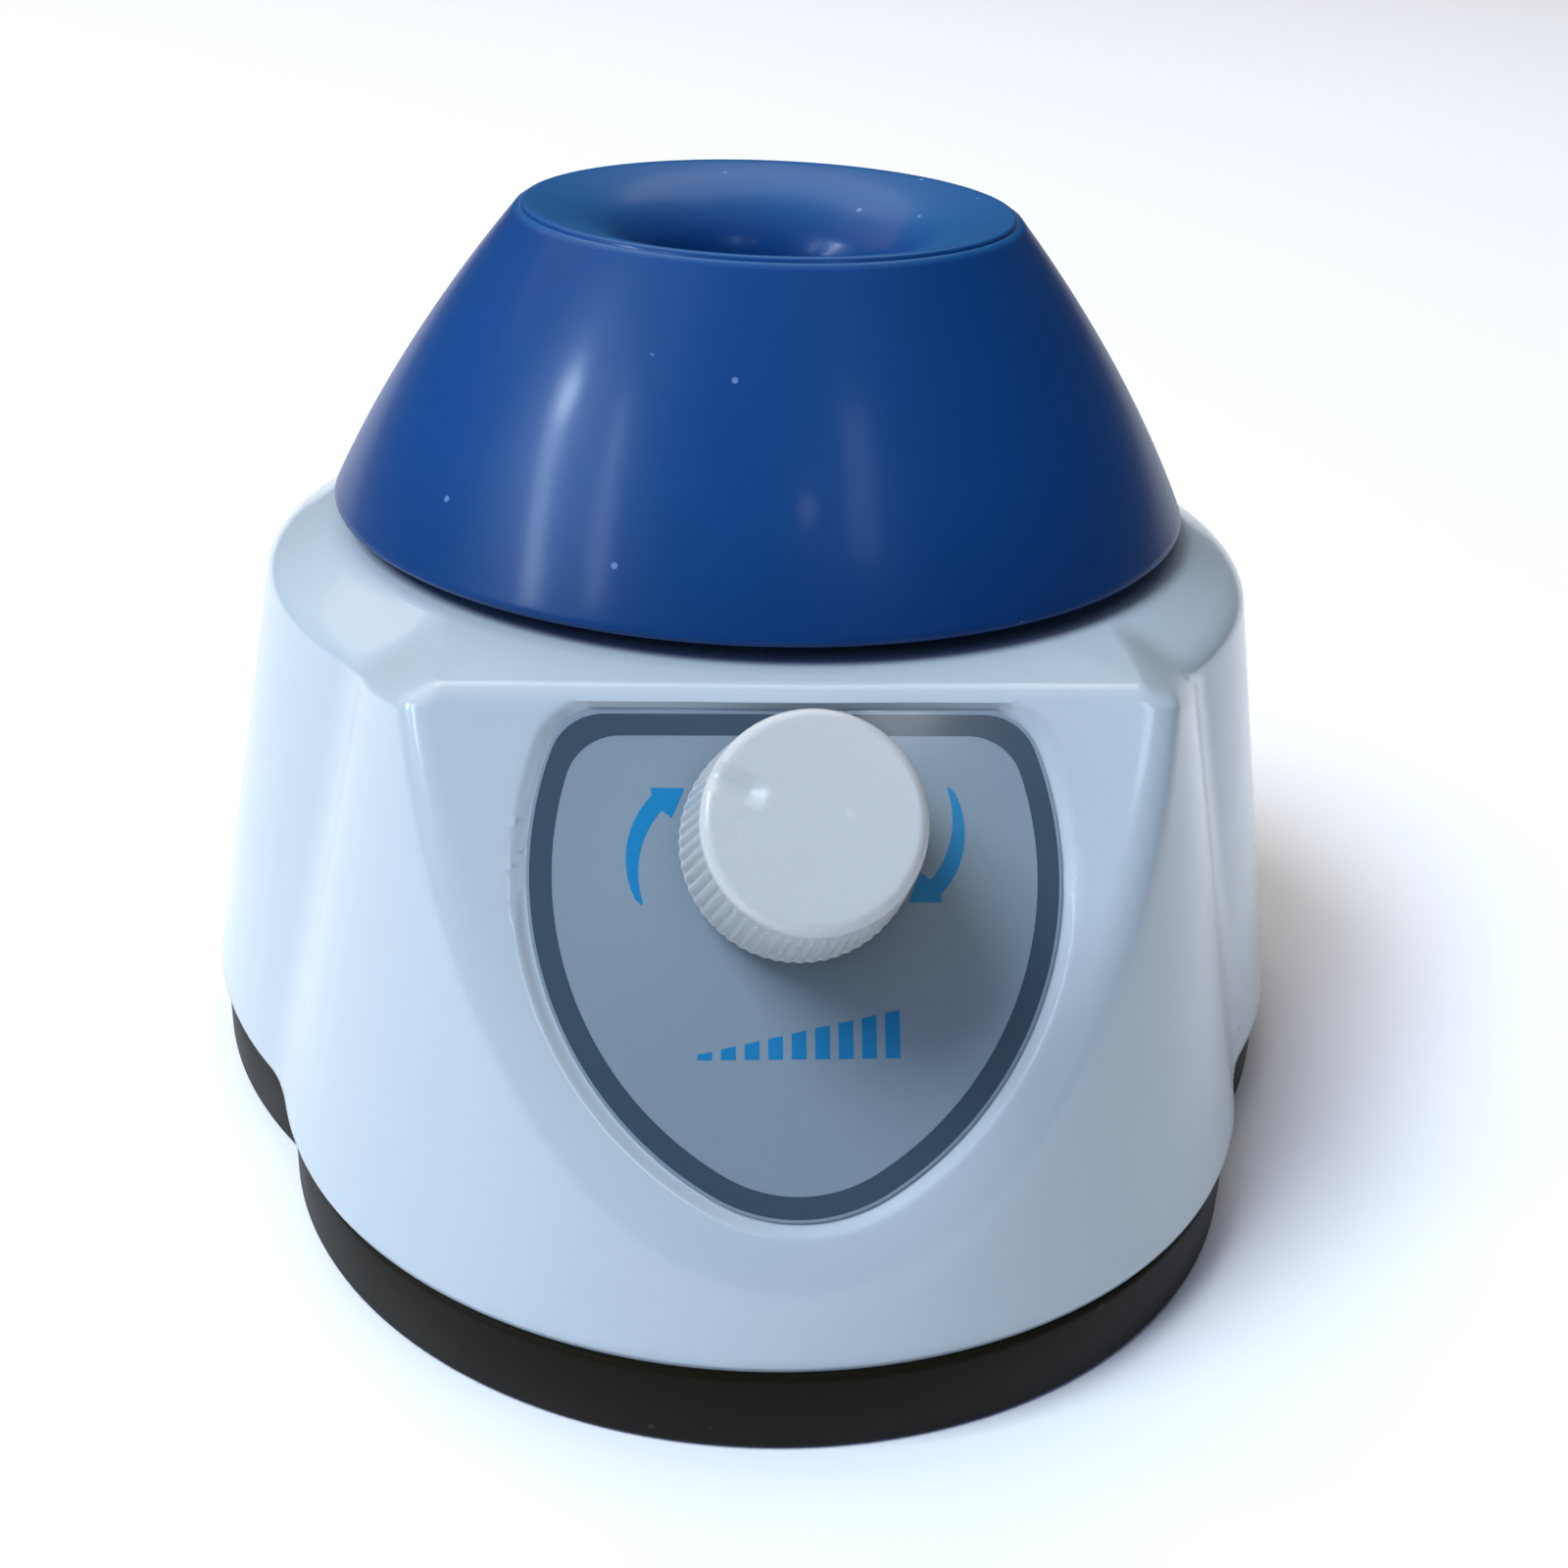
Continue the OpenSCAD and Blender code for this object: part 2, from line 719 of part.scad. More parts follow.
module cup_section() {
    top = cup_z + cup_h;
    mouth = top - 5.4;
    floor_top = cup_hub_z + cup_hub_h + seat_gap + well_floor;
    boss_z = cup_hub_z + hub_flange_t;
    polygon(concat(
        // outside, from the lower edge to the rim
        [[cup_side(0) - cup_wall, cup_z - skirt_h], [cup_side(0) - skirt_in - 0.15, cup_z - skirt_h],
         [cup_side(0) - skirt_in, cup_z - skirt_h + 0.15]],
        [for (t = spread(0, 1 - rim_lip / cup_h, cup_steps)) [cup_side(t), cup_z + cup_h * t]],
        [for (a = spread(30, 90, 3)) [cup_side(1) - rim_lip + rim_lip * cos(a),
                                      top - rim_lip + rim_lip * sin(a)]],
        // the dish, curving down into the well
        [for (a = spread(8, 72, 7)) let (k = (a - 8) / 64)
            [rim_r - 1.6 - (rim_r - 2.2 - well_r) * k,
             top - 0.2 - (top - mouth - 0.2) * (0.45 * k + 0.55 * k * k * k)]],
        [[well_r - 0.1, mouth - 1.3], [well_r - 0.5, mouth - 3], [well_r - 1.2, floor_top + 2.2],
         [well_r - 2, floor_top + 0.7], [well_r - 3.6, floor_top], [0, floor_top]],
        // the underside: hub seat, boss, roof and the skirt's inner wall
        [[0, floor_top - well_floor], [cup_hub_r + seat_gap, floor_top - well_floor],
         [cup_hub_r + seat_gap, boss_z], [cup_hub_r + 4.5, boss_z],
         [cup_hub_r + 5, mouth - 6], [cup_hub_r + 8, mouth - 4.6]],
        [for (t = spread(0.64, 0.06, 8)) [cup_side(t) - cup_wall, cup_z + cup_h * t]]));
}
module rubber_cup() {
    color([0.11, 0.3, 0.58])
    on_pin()
    rotate_extrude($fn = round_fn)
    cup_section();
}

module guide_ring() {
    color([0.92, 0.92, 0.88])
    on_axis()
    difference() {
        union() {
            rod(guide_r - 0.02, guide_z - guide_spigot, guide_spigot + 1, round_fn);
            rod(guide_r + guide_lip - seat_gap, guide_z, guide_flange + guide_up, round_fn);
        }
        rod(bearing_pin_r + 1.2 + throw + 3 * pass_gap, guide_z - guide_spigot - 1, 20);
        for (a = guide_angles)
            around(a, guide_pin_ring)
            rod(guide_pin_r + throw + pass_gap, guide_z - guide_spigot - 1, 20);
    }
}

// ---- Power socket in the rear wall ----
// Places children on the rear wall, +Z outwards
module socket_place() {
    translate([0, body_side(socket_z) - 0.3, socket_z]) rotate([-90, 0, 0]) children();
}
module power_socket() {
    color([0.1, 0.1, 0.1])
    on_axis()
    socket_place()
    difference() {
        union() {
            rod(socket_flange_r, 0, socket_flange_t);
            rod(socket_r, -socket_l, socket_l + 0.5);
        }
        difference() {
            rod(socket_bore_r, -9, 20);
            rod(socket_pin_r, -10, 10);
        }
    }
}
module socket_nut() {
    color([0.8, 0.8, 0.8])
    on_axis()
    socket_place()
    translate([0, 0, -wall - socket_nut_t - seat_gap])
    difference() {
        cylinder(h = socket_nut_t, r = socket_r + 2, $fn = 6);
        rod(socket_r + seat_gap, -1, socket_nut_t + 2);
    }
}

housing();
base_tray();
feet();
ballast_plate();
base_screws();
front_label();
pot_body();
pot_washer();
pot_nut();
pot_shaft();
speed_knob();
circuit_board();
board_pillars();
board_screws();
board_capacitor();
board_transistor();
board_terminals();
motor_can();
motor_end_cap();
motor_plate();
motor_screws();
plate_dampers();
plate_screws();
motor_shaft();
eccentric();
grub_screw();
pin_washer();
pin_screw();
bearing_inner();
bearing_balls();
bearing_outer();
cup_hub();
rubber_cup();
guide_ring();
power_socket();
socket_nut();
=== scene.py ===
import math

import bpy
import numpy as np
from mathutils import Matrix, Quaternion, Vector


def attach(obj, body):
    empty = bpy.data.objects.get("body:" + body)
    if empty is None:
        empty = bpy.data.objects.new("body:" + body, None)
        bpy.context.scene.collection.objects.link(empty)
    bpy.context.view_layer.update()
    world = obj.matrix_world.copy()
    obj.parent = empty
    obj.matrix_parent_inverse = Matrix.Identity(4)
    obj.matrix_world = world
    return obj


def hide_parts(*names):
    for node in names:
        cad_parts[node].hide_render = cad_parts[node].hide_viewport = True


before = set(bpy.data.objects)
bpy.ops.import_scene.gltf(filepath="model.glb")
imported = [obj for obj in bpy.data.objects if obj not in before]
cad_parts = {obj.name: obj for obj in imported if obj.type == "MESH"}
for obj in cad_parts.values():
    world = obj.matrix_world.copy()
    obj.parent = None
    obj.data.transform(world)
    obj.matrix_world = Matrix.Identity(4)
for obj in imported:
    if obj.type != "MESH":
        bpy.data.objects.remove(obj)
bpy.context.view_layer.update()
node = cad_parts
mm = 0.001

# ---- Camera, floor and light ----
# The mixer stands on a plain pale floor. A large cool soft box on the left is the
# main light, warmer ones stand behind, the ceiling is dim, and narrow lamps give
# the long highlights that moulded rubber and plastic show.
heading, pitch, roll = (math.radians(a) for a in (5.4, 26.76, 2.47))
forward = Vector((math.sin(heading) * math.cos(pitch), math.cos(heading) * math.cos(pitch), -math.sin(pitch)))
level = Vector((math.cos(heading), -math.sin(heading), 0))
above = level.cross(forward)
right = math.cos(roll) * level + math.sin(roll) * above
up = math.cos(roll) * above - math.sin(roll) * level
camera = bpy.data.objects.new("camera", bpy.data.cameras.new("camera"))
camera.data.lens = 46.53
camera.data.sensor_width = 36
camera.data.clip_start = 0.01
camera.matrix_world = Matrix((
    (right.x, up.x, -forward.x, -0.01491),
    (right.y, up.y, -forward.y, -0.18765),
    (right.z, up.z, -forward.z, 0.12263),
    (0, 0, 0, 1)))
bpy.context.scene.collection.objects.link(camera)
bpy.context.scene.camera = camera
bpy.context.scene.view_settings.view_transform = "Standard"


def add_node(tree, kind, **sockets):
    """A shader node with some of its sockets set, or linked where a socket is given."""
    n = tree.nodes.new(kind)
    for name, value in sockets.items():
        target = n.inputs[int(name[1:])] if name[0] == "_" else n.inputs[name.replace("_", " ")]
        if isinstance(value, bpy.types.NodeSocket):
            tree.links.new(value, target)
        else:
            target.default_value = value
    return n


def math_node(tree, operation, a, b=0.0, c=0.0, clamp=False):
    n = add_node(tree, "ShaderNodeMath", _0=a, _1=b, _2=c)
    n.operation = operation
    n.use_clamp = clamp
    return n.outputs[0]


def mix_colour(tree, factor, a, b):
    n = tree.nodes.new("ShaderNodeMix")
    n.data_type = "RGBA"
    for socket, value in ((n.inputs[0], factor), (n.inputs[6], a), (n.inputs[7], b)):
        if isinstance(value, bpy.types.NodeSocket):
            tree.links.new(value, socket)
        else:
            socket.default_value = value
    return n.outputs[2]


def new_material(name, **sockets):
    """A material with a Principled shader: its tree, the shader and the Object coordinates."""
    made = bpy.data.materials.new(name)
    made.use_nodes = True
    tree = made.node_tree
    shader = tree.nodes["Principled BSDF"]
    for socket, value in sockets.items():
        shader.inputs[socket.replace("_", " ")].default_value = value
    place = tree.nodes.new("ShaderNodeTexCoord").outputs["Object"]
    return made, tree, shader, place


bpy.ops.mesh.primitive_plane_add(size=6)
floor = bpy.context.object
floor.name = "floor"
floor_paint, tree, shader, place = new_material("pale_floor", Roughness=0.6)
cloud = add_node(tree, "ShaderNodeTexNoise", Vector=place, Scale=3.0, Detail=3.0)
tree.links.new(
    mix_colour(tree, cloud.outputs[0], (0.97, 0.97, 0.97, 1), (0.99, 0.99, 0.99, 1)),
    shader.inputs["Base Color"])
floor.data.materials.append(floor_paint)

world = bpy.data.worlds.new("studio")
bpy.context.scene.world = world
world.use_nodes = True
sky = world.node_tree.nodes["Background"]
sky.inputs["Color"].default_value = (0.88, 0.93, 1.0, 1)
sky_place = world.node_tree.nodes.new("ShaderNodeTexCoord")
sky_split = add_node(world.node_tree, "ShaderNodeSeparateXYZ", Vector=sky_place.outputs["Generated"])
overhead = add_node(world.node_tree, "ShaderNodeMapRange", Value=sky_split.outputs[2])
for label, value in (("From Min", 0.75), ("From Max", 1.0), ("To Min", 0.04), ("To Max", 0.7)):
    overhead.inputs[label].default_value = value
world.node_tree.links.new(overhead.outputs[0], sky.inputs["Strength"])


def add_lamp(name, azimuth, elevation, distance, size, power, colour=(1, 1, 1), lean=0, mirrored=True,
             lights_up=True):
    """A soft box that faces the mixer. Azimuth 0 is in front, positive to the right.

    lean turns the box about the line to the mixer, mirrored says that glossy
    surfaces show it, and lights_up that it lights matt ones.
    """
    a, e = math.radians(azimuth), math.radians(elevation)
    target = Vector((0, 0, 0.05))
    away = Vector((math.sin(a) * math.cos(e), -math.cos(a) * math.cos(e), math.sin(e)))
    data = bpy.data.lights.new(name, "AREA")
    data.shape = "RECTANGLE"
    data.size, data.size_y = size
    data.energy = power
    data.color = colour
    lamp = bpy.data.objects.new(name, data)
    lamp.location = target + away * distance
    lamp.rotation_mode = "QUATERNION"
    lamp.rotation_quaternion = Quaternion(away, math.radians(lean)) @ away.to_track_quat("Z", "Y")
    lamp.visible_glossy = mirrored
    lamp.visible_diffuse = lights_up
    bpy.context.scene.collection.objects.link(lamp)


cool_lamp = (0.72, 0.9, 1.0)
add_lamp("left_box", -67, 55, 3.0, (1.4, 1.4), 103, (0.73, 0.84, 0.96), mirrored=False)
add_lamp("back_box", 180, 55, 3.0, (2.4, 1.9), 27, (1.0, 0.90, 0.86))
add_lamp("back_left_box", -130, 45, 3.0, (1.9, 1.9), 12, (1.0, 0.78, 0.45))
add_lamp("front_left_box", -35, 40, 3.0, (1.6, 1.6), 15, (0.25, 0.40, 1.0), mirrored=False)
add_lamp("left_window", -74, 32, 0.9, (0.07, 0.42), 3.4, cool_lamp, lean=43, lights_up=False)
add_lamp("left_bulb", -81, 40, 0.9, (0.06, 0.06), 1.2, cool_lamp, lights_up=False)
add_lamp("left_lamp", -54, 37, 0.9, (0.07, 0.36), 1.3, cool_lamp, lean=28, lights_up=False)
add_lamp("right_window", 31, 44, 0.9, (0.12, 0.26), 0.6, cool_lamp, lean=-20, lights_up=False)
add_lamp("front_lamp", 11.5, 43, 0.9, (0.035, 0.025), 0.10, lights_up=False)

# ---- Shared surface effects ----
# Every moulded, turned or coated surface has a fine texture, a slow change of
# gloss and a little dust. The grain and dust groups are used by several of the
# materials below, the scratches only by the cup.


def effect_group(name, inputs, outputs):
    group = bpy.data.node_groups.new(name, "ShaderNodeTree")
    for label, value in inputs:
        kind = "NodeSocketVector" if label == "Vector" else "NodeSocketFloat"
        socket = group.interface.new_socket(label, in_out="INPUT", socket_type=kind)
        if value is not None:
            socket.default_value = value
    for label in outputs:
        group.interface.new_socket(label, in_out="OUTPUT", socket_type="NodeSocketFloat")
    return group, group.nodes.new("NodeGroupInput"), group.nodes.new("NodeGroupOutput")


# Grain: a fine height with a slower swell in it, for moulded and cast surfaces
grain, given, result = effect_group(
    "grain", [("Vector", None), ("Fine", 900.0), ("Coarse", 60.0)], ["Height", "Swell"])
spot = given.outputs["Vector"]
fine = add_node(grain, "ShaderNodeTexNoise", Vector=spot, Scale=given.outputs["Fine"], Detail=4.0)
coarse = add_node(grain, "ShaderNodeTexNoise", Vector=spot, Scale=given.outputs["Coarse"], Detail=2.0)
half_coarse = math_node(grain, "MULTIPLY", coarse.outputs[0], 0.5)
both = math_node(grain, "MULTIPLY_ADD", fine.outputs[0], 0.5, half_coarse)
grain.links.new(both, result.inputs["Height"])
grain.links.new(coarse.outputs[0], result.inputs["Swell"])

# Dust: sparse small specks, each about Size of its cell, as a mask
dust, given, result = effect_group(
    "dust", [("Vector", None), ("Scale", 300.0), ("Size", 0.1), ("Amount", 0.3)], ["Mask"])
cell = add_node(dust, "ShaderNodeTexVoronoi", Vector=given.outputs["Vector"], Scale=given.outputs["Scale"])
chosen = add_node(dust, "ShaderNodeSeparateColor", Color=cell.outputs["Color"])
near = math_node(dust, "LESS_THAN", cell.outputs["Distance"], given.outputs["Size"])
picked = math_node(dust, "LESS_THAN", chosen.outputs[0], given.outputs["Amount"])
dust.links.new(math_node(dust, "MULTIPLY", near, picked), result.inputs["Mask"])

# Scratches: short straight marks in some of the cells, each in its own direction, as a mask
scratches, given, result = effect_group(
    "scratches",
    [("Vector", None), ("Scale", 60.0), ("Length", 0.0015), ("Width", 0.00006), ("Amount", 0.1)],
    ["Mask"])
spot = given.outputs["Vector"]
cell = add_node(scratches, "ShaderNodeTexVoronoi", Vector=spot, Scale=given.outputs["Scale"])


def vector_node(tree, operation, a, b=(0, 0, 0), output=0):
    n = add_node(tree, "ShaderNodeVectorMath", _0=a, _1=b)
    n.operation = operation
    return n.outputs[output]


offset = vector_node(scratches, "SUBTRACT", spot, cell.outputs["Position"])
from_grey = vector_node(scratches, "SUBTRACT", cell.outputs["Color"], (0.5, 0.5, 0.5))
direction = vector_node(scratches, "NORMALIZE", from_grey)
run = vector_node(scratches, "DOT_PRODUCT", offset, direction, 1)
far = vector_node(scratches, "DOT_PRODUCT", offset, offset, 1)
run_squared = math_node(scratches, "MULTIPLY", run, run)
aside = math_node(scratches, "SQRT", math_node(scratches, "SUBTRACT", far, run_squared, clamp=True))
chosen = add_node(scratches, "ShaderNodeSeparateColor", Color=cell.outputs["Color"])
thin = math_node(scratches, "LESS_THAN", aside, given.outputs["Width"])
short = math_node(scratches, "LESS_THAN", math_node(scratches, "ABSOLUTE", run), given.outputs["Length"])
picked = math_node(scratches, "LESS_THAN", chosen.outputs[1], given.outputs["Amount"])
marked = math_node(scratches, "MULTIPLY", thin, math_node(scratches, "MULTIPLY", short, picked))
scratches.links.new(marked, result.inputs["Mask"])


def place_group(tree, group, place, **values):
    n = tree.nodes.new("ShaderNodeGroup")
    n.node_tree = group
    tree.links.new(place, n.inputs["Vector"])
    for name, value in values.items():
        n.inputs[name].default_value = value
    return n


def add_bump(tree, shader, height, distance, strength):
    bump = add_node(tree, "ShaderNodeBump", Height=height, Distance=distance, Strength=strength)
    tree.links.new(bump.outputs[0], shader.inputs["Normal"])


def spread(tree, factor, low, high):
    """A value that goes from low to high as factor goes from 0 to 1."""
    n = add_node(tree, "ShaderNodeMapRange", Value=factor)
    n.inputs["To Min"].default_value = low
    n.inputs["To Max"].default_value = high
    return n.outputs[0]


def share_of(tree, value, low, high):
    """0 where value is at low, 1 where it is at high, and between them in between."""
    n = add_node(tree, "ShaderNodeMapRange", Value=value)
    n.inputs["From Min"].default_value = low
    n.inputs["From Max"].default_value = high
    return n.outputs[0]


def add_dust(tree, shader, place, tone, dust_colour, cover, **values):
    """The base colour: a tone with specks that are partly covered by the dust's colour."""
    specks = place_group(tree, dust, place, **values)
    covered = math_node(tree, "MULTIPLY", specks.outputs["Mask"], cover)
    tree.links.new(mix_colour(tree, covered, tone, dust_colour), shader.inputs["Base Color"])


# ---- Casing ----
# One glossy white moulding: a round drafted body under a shallow shoulder, and a
# nose whose sloping front carries the label in a shallow recess. The deck has a
# seat for the guide ring; inside are posts for the base and motor plate screws.
body_r, deck_z, body_draft, wall = 57, 54.8, 0.185, 2.5
nose_out, nose_r, nose_draft, face_tilt, base_z = 16.8, 46.8, 0.215, math.radians(35), 7.6
nose_y = body_r + nose_out - nose_r
cup_foot_r, shoulder_slope, nose_top_half, nose_reach = 42.5, 1.88, 30, math.radians(88)
label_drop, label_inset = 35.4, 1.66
label_z = deck_z - label_drop
label_f = nose_y + nose_r - nose_draft * (label_z - base_z) - label_inset
axis_y = (nose_y + nose_r + 0.5 - body_r + body_draft * 0.6) / 2
label_half, label_h, label_wide, label_tip_r, label_corner_r = 21.9, 41.3, 28, 14, 4.5
label_foot, label_head = 19, 54
recess, knob_up_face = 0.8, 30.2
seat_r, seat_z, opening_r = 28.05, 53.3, 26.02
post_r, post_low, post_high = 4, 3.4, 32
plate_post_out, plate_post_low, plate_post_high = 33, 45.5, 52.8


def blend_low(a, b, k):
    h = np.clip(0.5 + 0.5 * (b - a) / k, 0, 1)
    return b + (a - b) * h - k * h * (1 - h)


def blend_high(a, b, k):
    return -blend_low(-a, -b, k)


def skin_radius(a, z):
    """Distance of the casing's skin from the drive axis, at angle a from straight ahead."""
    body = blend_low(body_r - body_draft * (z - base_z), cup_foot_r + (deck_z - z) * shoulder_slope, 2)
    r = nose_r - nose_draft * (z - base_z)
    front = nose_y * np.cos(a) + np.sqrt(np.maximum(0, r * r - (nose_y * np.sin(a)) ** 2))
    ahead = np.maximum(0.03, np.cos(a))
    face = (label_f + (label_z - z) * math.tan(face_tilt)) / ahead
    side = (nose_top_half + (deck_z - z) * shoulder_slope) / np.maximum(0.2, np.abs(np.sin(a)))
    nose = blend_low(blend_low(front, face, 2.2), side, 2)
    nose = np.where(np.abs(a) > nose_reach, 0, nose)
    return blend_high(body, nose, 2) - 0.5 * np.maximum(0, base_z + 0.6 - z)


def to_face(points):
    """Points from the drive axis, in mm, as (across, up the face, out of the face)."""
    y, z = points[:, 1] + label_f, points[:, 2] - label_z
    s, c = math.sin(face_tilt), math.cos(face_tilt)
    return np.stack([points[:, 0], y * s + z * c, z * s - y * c], 1)


def from_face(points):
    s, c = math.sin(face_tilt), math.cos(face_tilt)
    return np.stack([points[:, 0], points[:, 1] * s - points[:, 2] * c - label_f,
                     points[:, 1] * c + points[:, 2] * s + label_z], 1)


def label_outline(inset, steps=1.0):
    """The label's outline on the face: a round tip, two wide side arcs and a flat top."""
    rise_squared = (label_wide - label_tip_r) ** 2
    arc_r = (label_half ** 2 + rise_squared - label_tip_r ** 2) / (2 * (label_half - label_tip_r))
    shift = arc_r - label_half
    turn = math.atan2(label_wide - label_tip_r, shift)
    corner_s = label_h - inset - label_corner_r
    side = arc_r - inset
    corner_u = math.sqrt((side - label_corner_r) ** 2 - (corner_s - label_wide) ** 2) - shift
    rise = math.atan2(corner_s - label_wide, corner_u + shift)
    half = []
    for centre_u, centre_s, r, low, high, n in (
            (0, label_tip_r, label_tip_r - inset, -math.pi / 2, -turn, 16),
            (-shift, label_wide, side, -turn, rise, 34),
            (corner_u, corner_s, label_corner_r, rise, math.pi / 2, 12)):
        for a in np.linspace(low, high, int(n * steps) + 1):
            half.append((centre_u + r * math.cos(a), centre_s + r * math.sin(a)))
    kept = [p for i, p in enumerate(half) if i == 0 or math.dist(p, half[i - 1]) > 0.02]
    return np.array(kept + [(-u, s) for u, s in reversed(kept[1:])])


def outside_by(points, outline):
    """Signed distance of points on the face from an outline: positive outside it."""
    a, b = outline, np.roll(outline, -1, 0)
    best = np.full(len(points), 1e9)
    inside = np.zeros(len(points), bool)
    for p, q in zip(a, b):
        d = q - p
        t = np.clip(((points - p) @ d) / (d @ d), 0, 1)
        best = np.minimum(best, np.hypot(*(points - p - t[:, None] * d).T))
        crosses = (p[1] > points[:, 1]) != (q[1] > points[:, 1])
        at = p[0] + (points[:, 1] - p[1]) * d[0] / (d[1] if d[1] else 1e-9)
        inside ^= crosses & (points[:, 0] < at)
    return np.where(inside, -best, best)


def band(first, second, count, faces):
    """Adds the faces between two rings of count points each, first and second by row."""
    for j in range(count):
        k = (j + 1) % count
        faces.append((first * count + j, first * count + k, second * count + k, second * count + j))


def fan(row, count, centre, outwards, faces):
    """Adds the faces that close a ring to a centre point."""
    for j in range(count):
        pair = (row * count + j, row * count + (j + 1) % count)
        faces.append((*pair, centre) if outwards else (*pair[::-1], centre))


def make_mesh(name, points, faces, origin=(0, 0, 0)):
    """An object from points in mm round a centre, with its place in its mesh."""
    mesh = bpy.data.meshes.new(name)
    places = (np.asarray(points) + np.array(origin)) * mm
    mesh.from_pydata([tuple(p) for p in places], [], [tuple(f) for f in faces])
    mesh.update()
    made = bpy.data.objects.new(name, mesh)
    bpy.context.scene.collection.objects.link(made)
    return made


def select_only(made):
    bpy.ops.object.select_all(action="DESELECT")
    made.select_set(True)
    bpy.context.view_layer.objects.active = made


def shade_by_angle(made, degrees=32):
    select_only(made)
    bpy.ops.object.shade_smooth_by_angle(angle=math.radians(degrees))


angles = np.radians(np.concatenate([
    np.arange(-180, -75, 2.0), np.arange(-75, -22, 0.6), np.arange(-22, 22, 0.25),
    np.arange(22, 75, 0.6), np.arange(75, 180, 2.0)]))
columns = len(angles)
heights = np.concatenate([
    [base_z, base_z + 0.3], np.linspace(base_z + 0.6, 18, 14), np.arange(18.3, deck_z - 1.2, 0.26)])
rings = []
for z in heights:
    rings.append(np.stack([skin_radius(angles, np.full(columns, z)), np.full(columns, z)], 1))
corner = skin_radius(angles, np.full(columns, deck_z))
below = rings[-1]
for t in np.linspace(0, 1, 8)[1:]:
    soft = (1 - t) ** 2 * below + 2 * t * (1 - t) * np.stack([corner, np.full(columns, deck_z)], 1)
    rings.append(soft + t * t * np.stack([corner - 1.3, np.full(columns, deck_z)], 1))
for r, z in ((35, deck_z), (29, deck_z), (seat_r + 0.2, deck_z), (seat_r, deck_z - 0.2), (seat_r, seat_z),
             (opening_r, seat_z), (opening_r, deck_z - wall)):
    rings.append(np.stack([np.full(columns, r), np.full(columns, z)], 1))
inner_top = deck_z - wall
for z in np.concatenate([np.linspace(inner_top, inner_top - 8, 7), np.linspace(inner_top - 12, base_z, 8)]):
    r = skin_radius(angles, np.full(columns, z + wall)) - 0.9 * wall
    rings.append(np.stack([r, np.full(columns, z)], 1))
points = np.concatenate([
    np.stack([ring[:, 0] * np.sin(angles), -ring[:, 0] * np.cos(angles), ring[:, 1]], 1) for ring in rings])
outer = len(heights) * columns
on = to_face(points[:outer])
away = outside_by(on[:, :2], label_outline(0))
t = np.clip((away - 0.12) / 1.15, 0, 1)
t = t * t * (3 - 2 * t)
near_face = (on[:, 2] > -4) & (on[:, 2] < 2) & (points[:outer, 1] < 0)
on[:, 2] = np.where(near_face, on[:, 2] * t - recess * (1 - t), on[:, 2])
points[:outer] = from_face(on)
faces = []
for i in range(len(rings)):
    band(i, (i + 1) % len(rings), columns, faces)
casing = make_mesh("casing", points, faces, (0, axis_y, 0))


def cut_or_join(target, operation, tools):
    """Joins tools to the target, or cuts them from it, and removes them."""
    for tool in tools:
        change = target.modifiers.new("change", "BOOLEAN")
        change.operation = operation
        change.solver = "MANIFOLD"
        change.object = tool
        select_only(target)
        bpy.ops.object.modifier_apply(modifier="change")
        bpy.data.objects.remove(tool)
    target.data.materials.clear()
    target.data.polygons.foreach_set("material_index", [0] * len(target.data.polygons))


def rod(r, x, y, low, high, sides=48):
    """An upright cylinder round (x, y) on the drive axis, from low to high, in mm."""
    bpy.ops.mesh.primitive_cylinder_add(
        vertices=sides, radius=r * mm, depth=(high - low) * mm,
        location=(x * mm, (y + axis_y) * mm, (low + high) / 2 * mm))
    made = bpy.context.object
    bpy.ops.object.transform_apply(location=True, rotation=True, scale=True)
    return made


post_angles = [math.radians(a) for a in (38, -38, 130, -130)]
plate_angles = [math.radians(a) for a in (60, 180, 300)]
post_places = []
for a in post_angles:
    r = float(skin_radius(np.array([a]), np.array([post_high + wall]))[0]) - 0.9 * wall - 3
    post_places.append((r * math.sin(a), -r * math.cos(a)))
plate_places = [(plate_post_out * math.sin(a), -plate_post_out * math.cos(a)) for a in plate_angles]
cut_or_join(casing, "UNION",
            [rod(post_r, x, y, post_low, post_high) for x, y in post_places]
            + [rod(post_r, x, y, plate_post_low, plate_post_high) for x, y in plate_places])
socket_hole_r, socket_z, bush_hole_r = 4.05, 18, 3.55
socket_y = body_r - body_draft * (socket_z - base_z) - 0.3
to_origin = Matrix.Translation((0, -axis_y * mm, 0))
socket_tool = rod(socket_hole_r, 0, 0, -20, 20)
socket_tool.data.transform(Matrix.Translation((0, (axis_y + socket_y) * mm, socket_z * mm))
                           @ Matrix.Rotation(-math.pi / 2, 4, "X") @ to_origin)
bush_tool = rod(bush_hole_r, 0, 0, -20, 20)
bush_place = Vector(from_face(np.array([[0, knob_up_face, 0]]))[0]) * mm
bush_tool.data.transform(Matrix.Translation((0, axis_y * mm, 0)) @ Matrix.Translation(bush_place)
                         @ Matrix.Rotation(math.pi / 2 - face_tilt, 4, "X") @ to_origin)
cut_or_join(casing, "DIFFERENCE",
            [rod(1.55, x, y, post_low - 1, 17.4) for x, y in post_places]
            + [rod(1.65, x, y, 41.2, plate_post_high) for x, y in plate_places] + [socket_tool, bush_tool])
shade_by_angle(casing, 38)

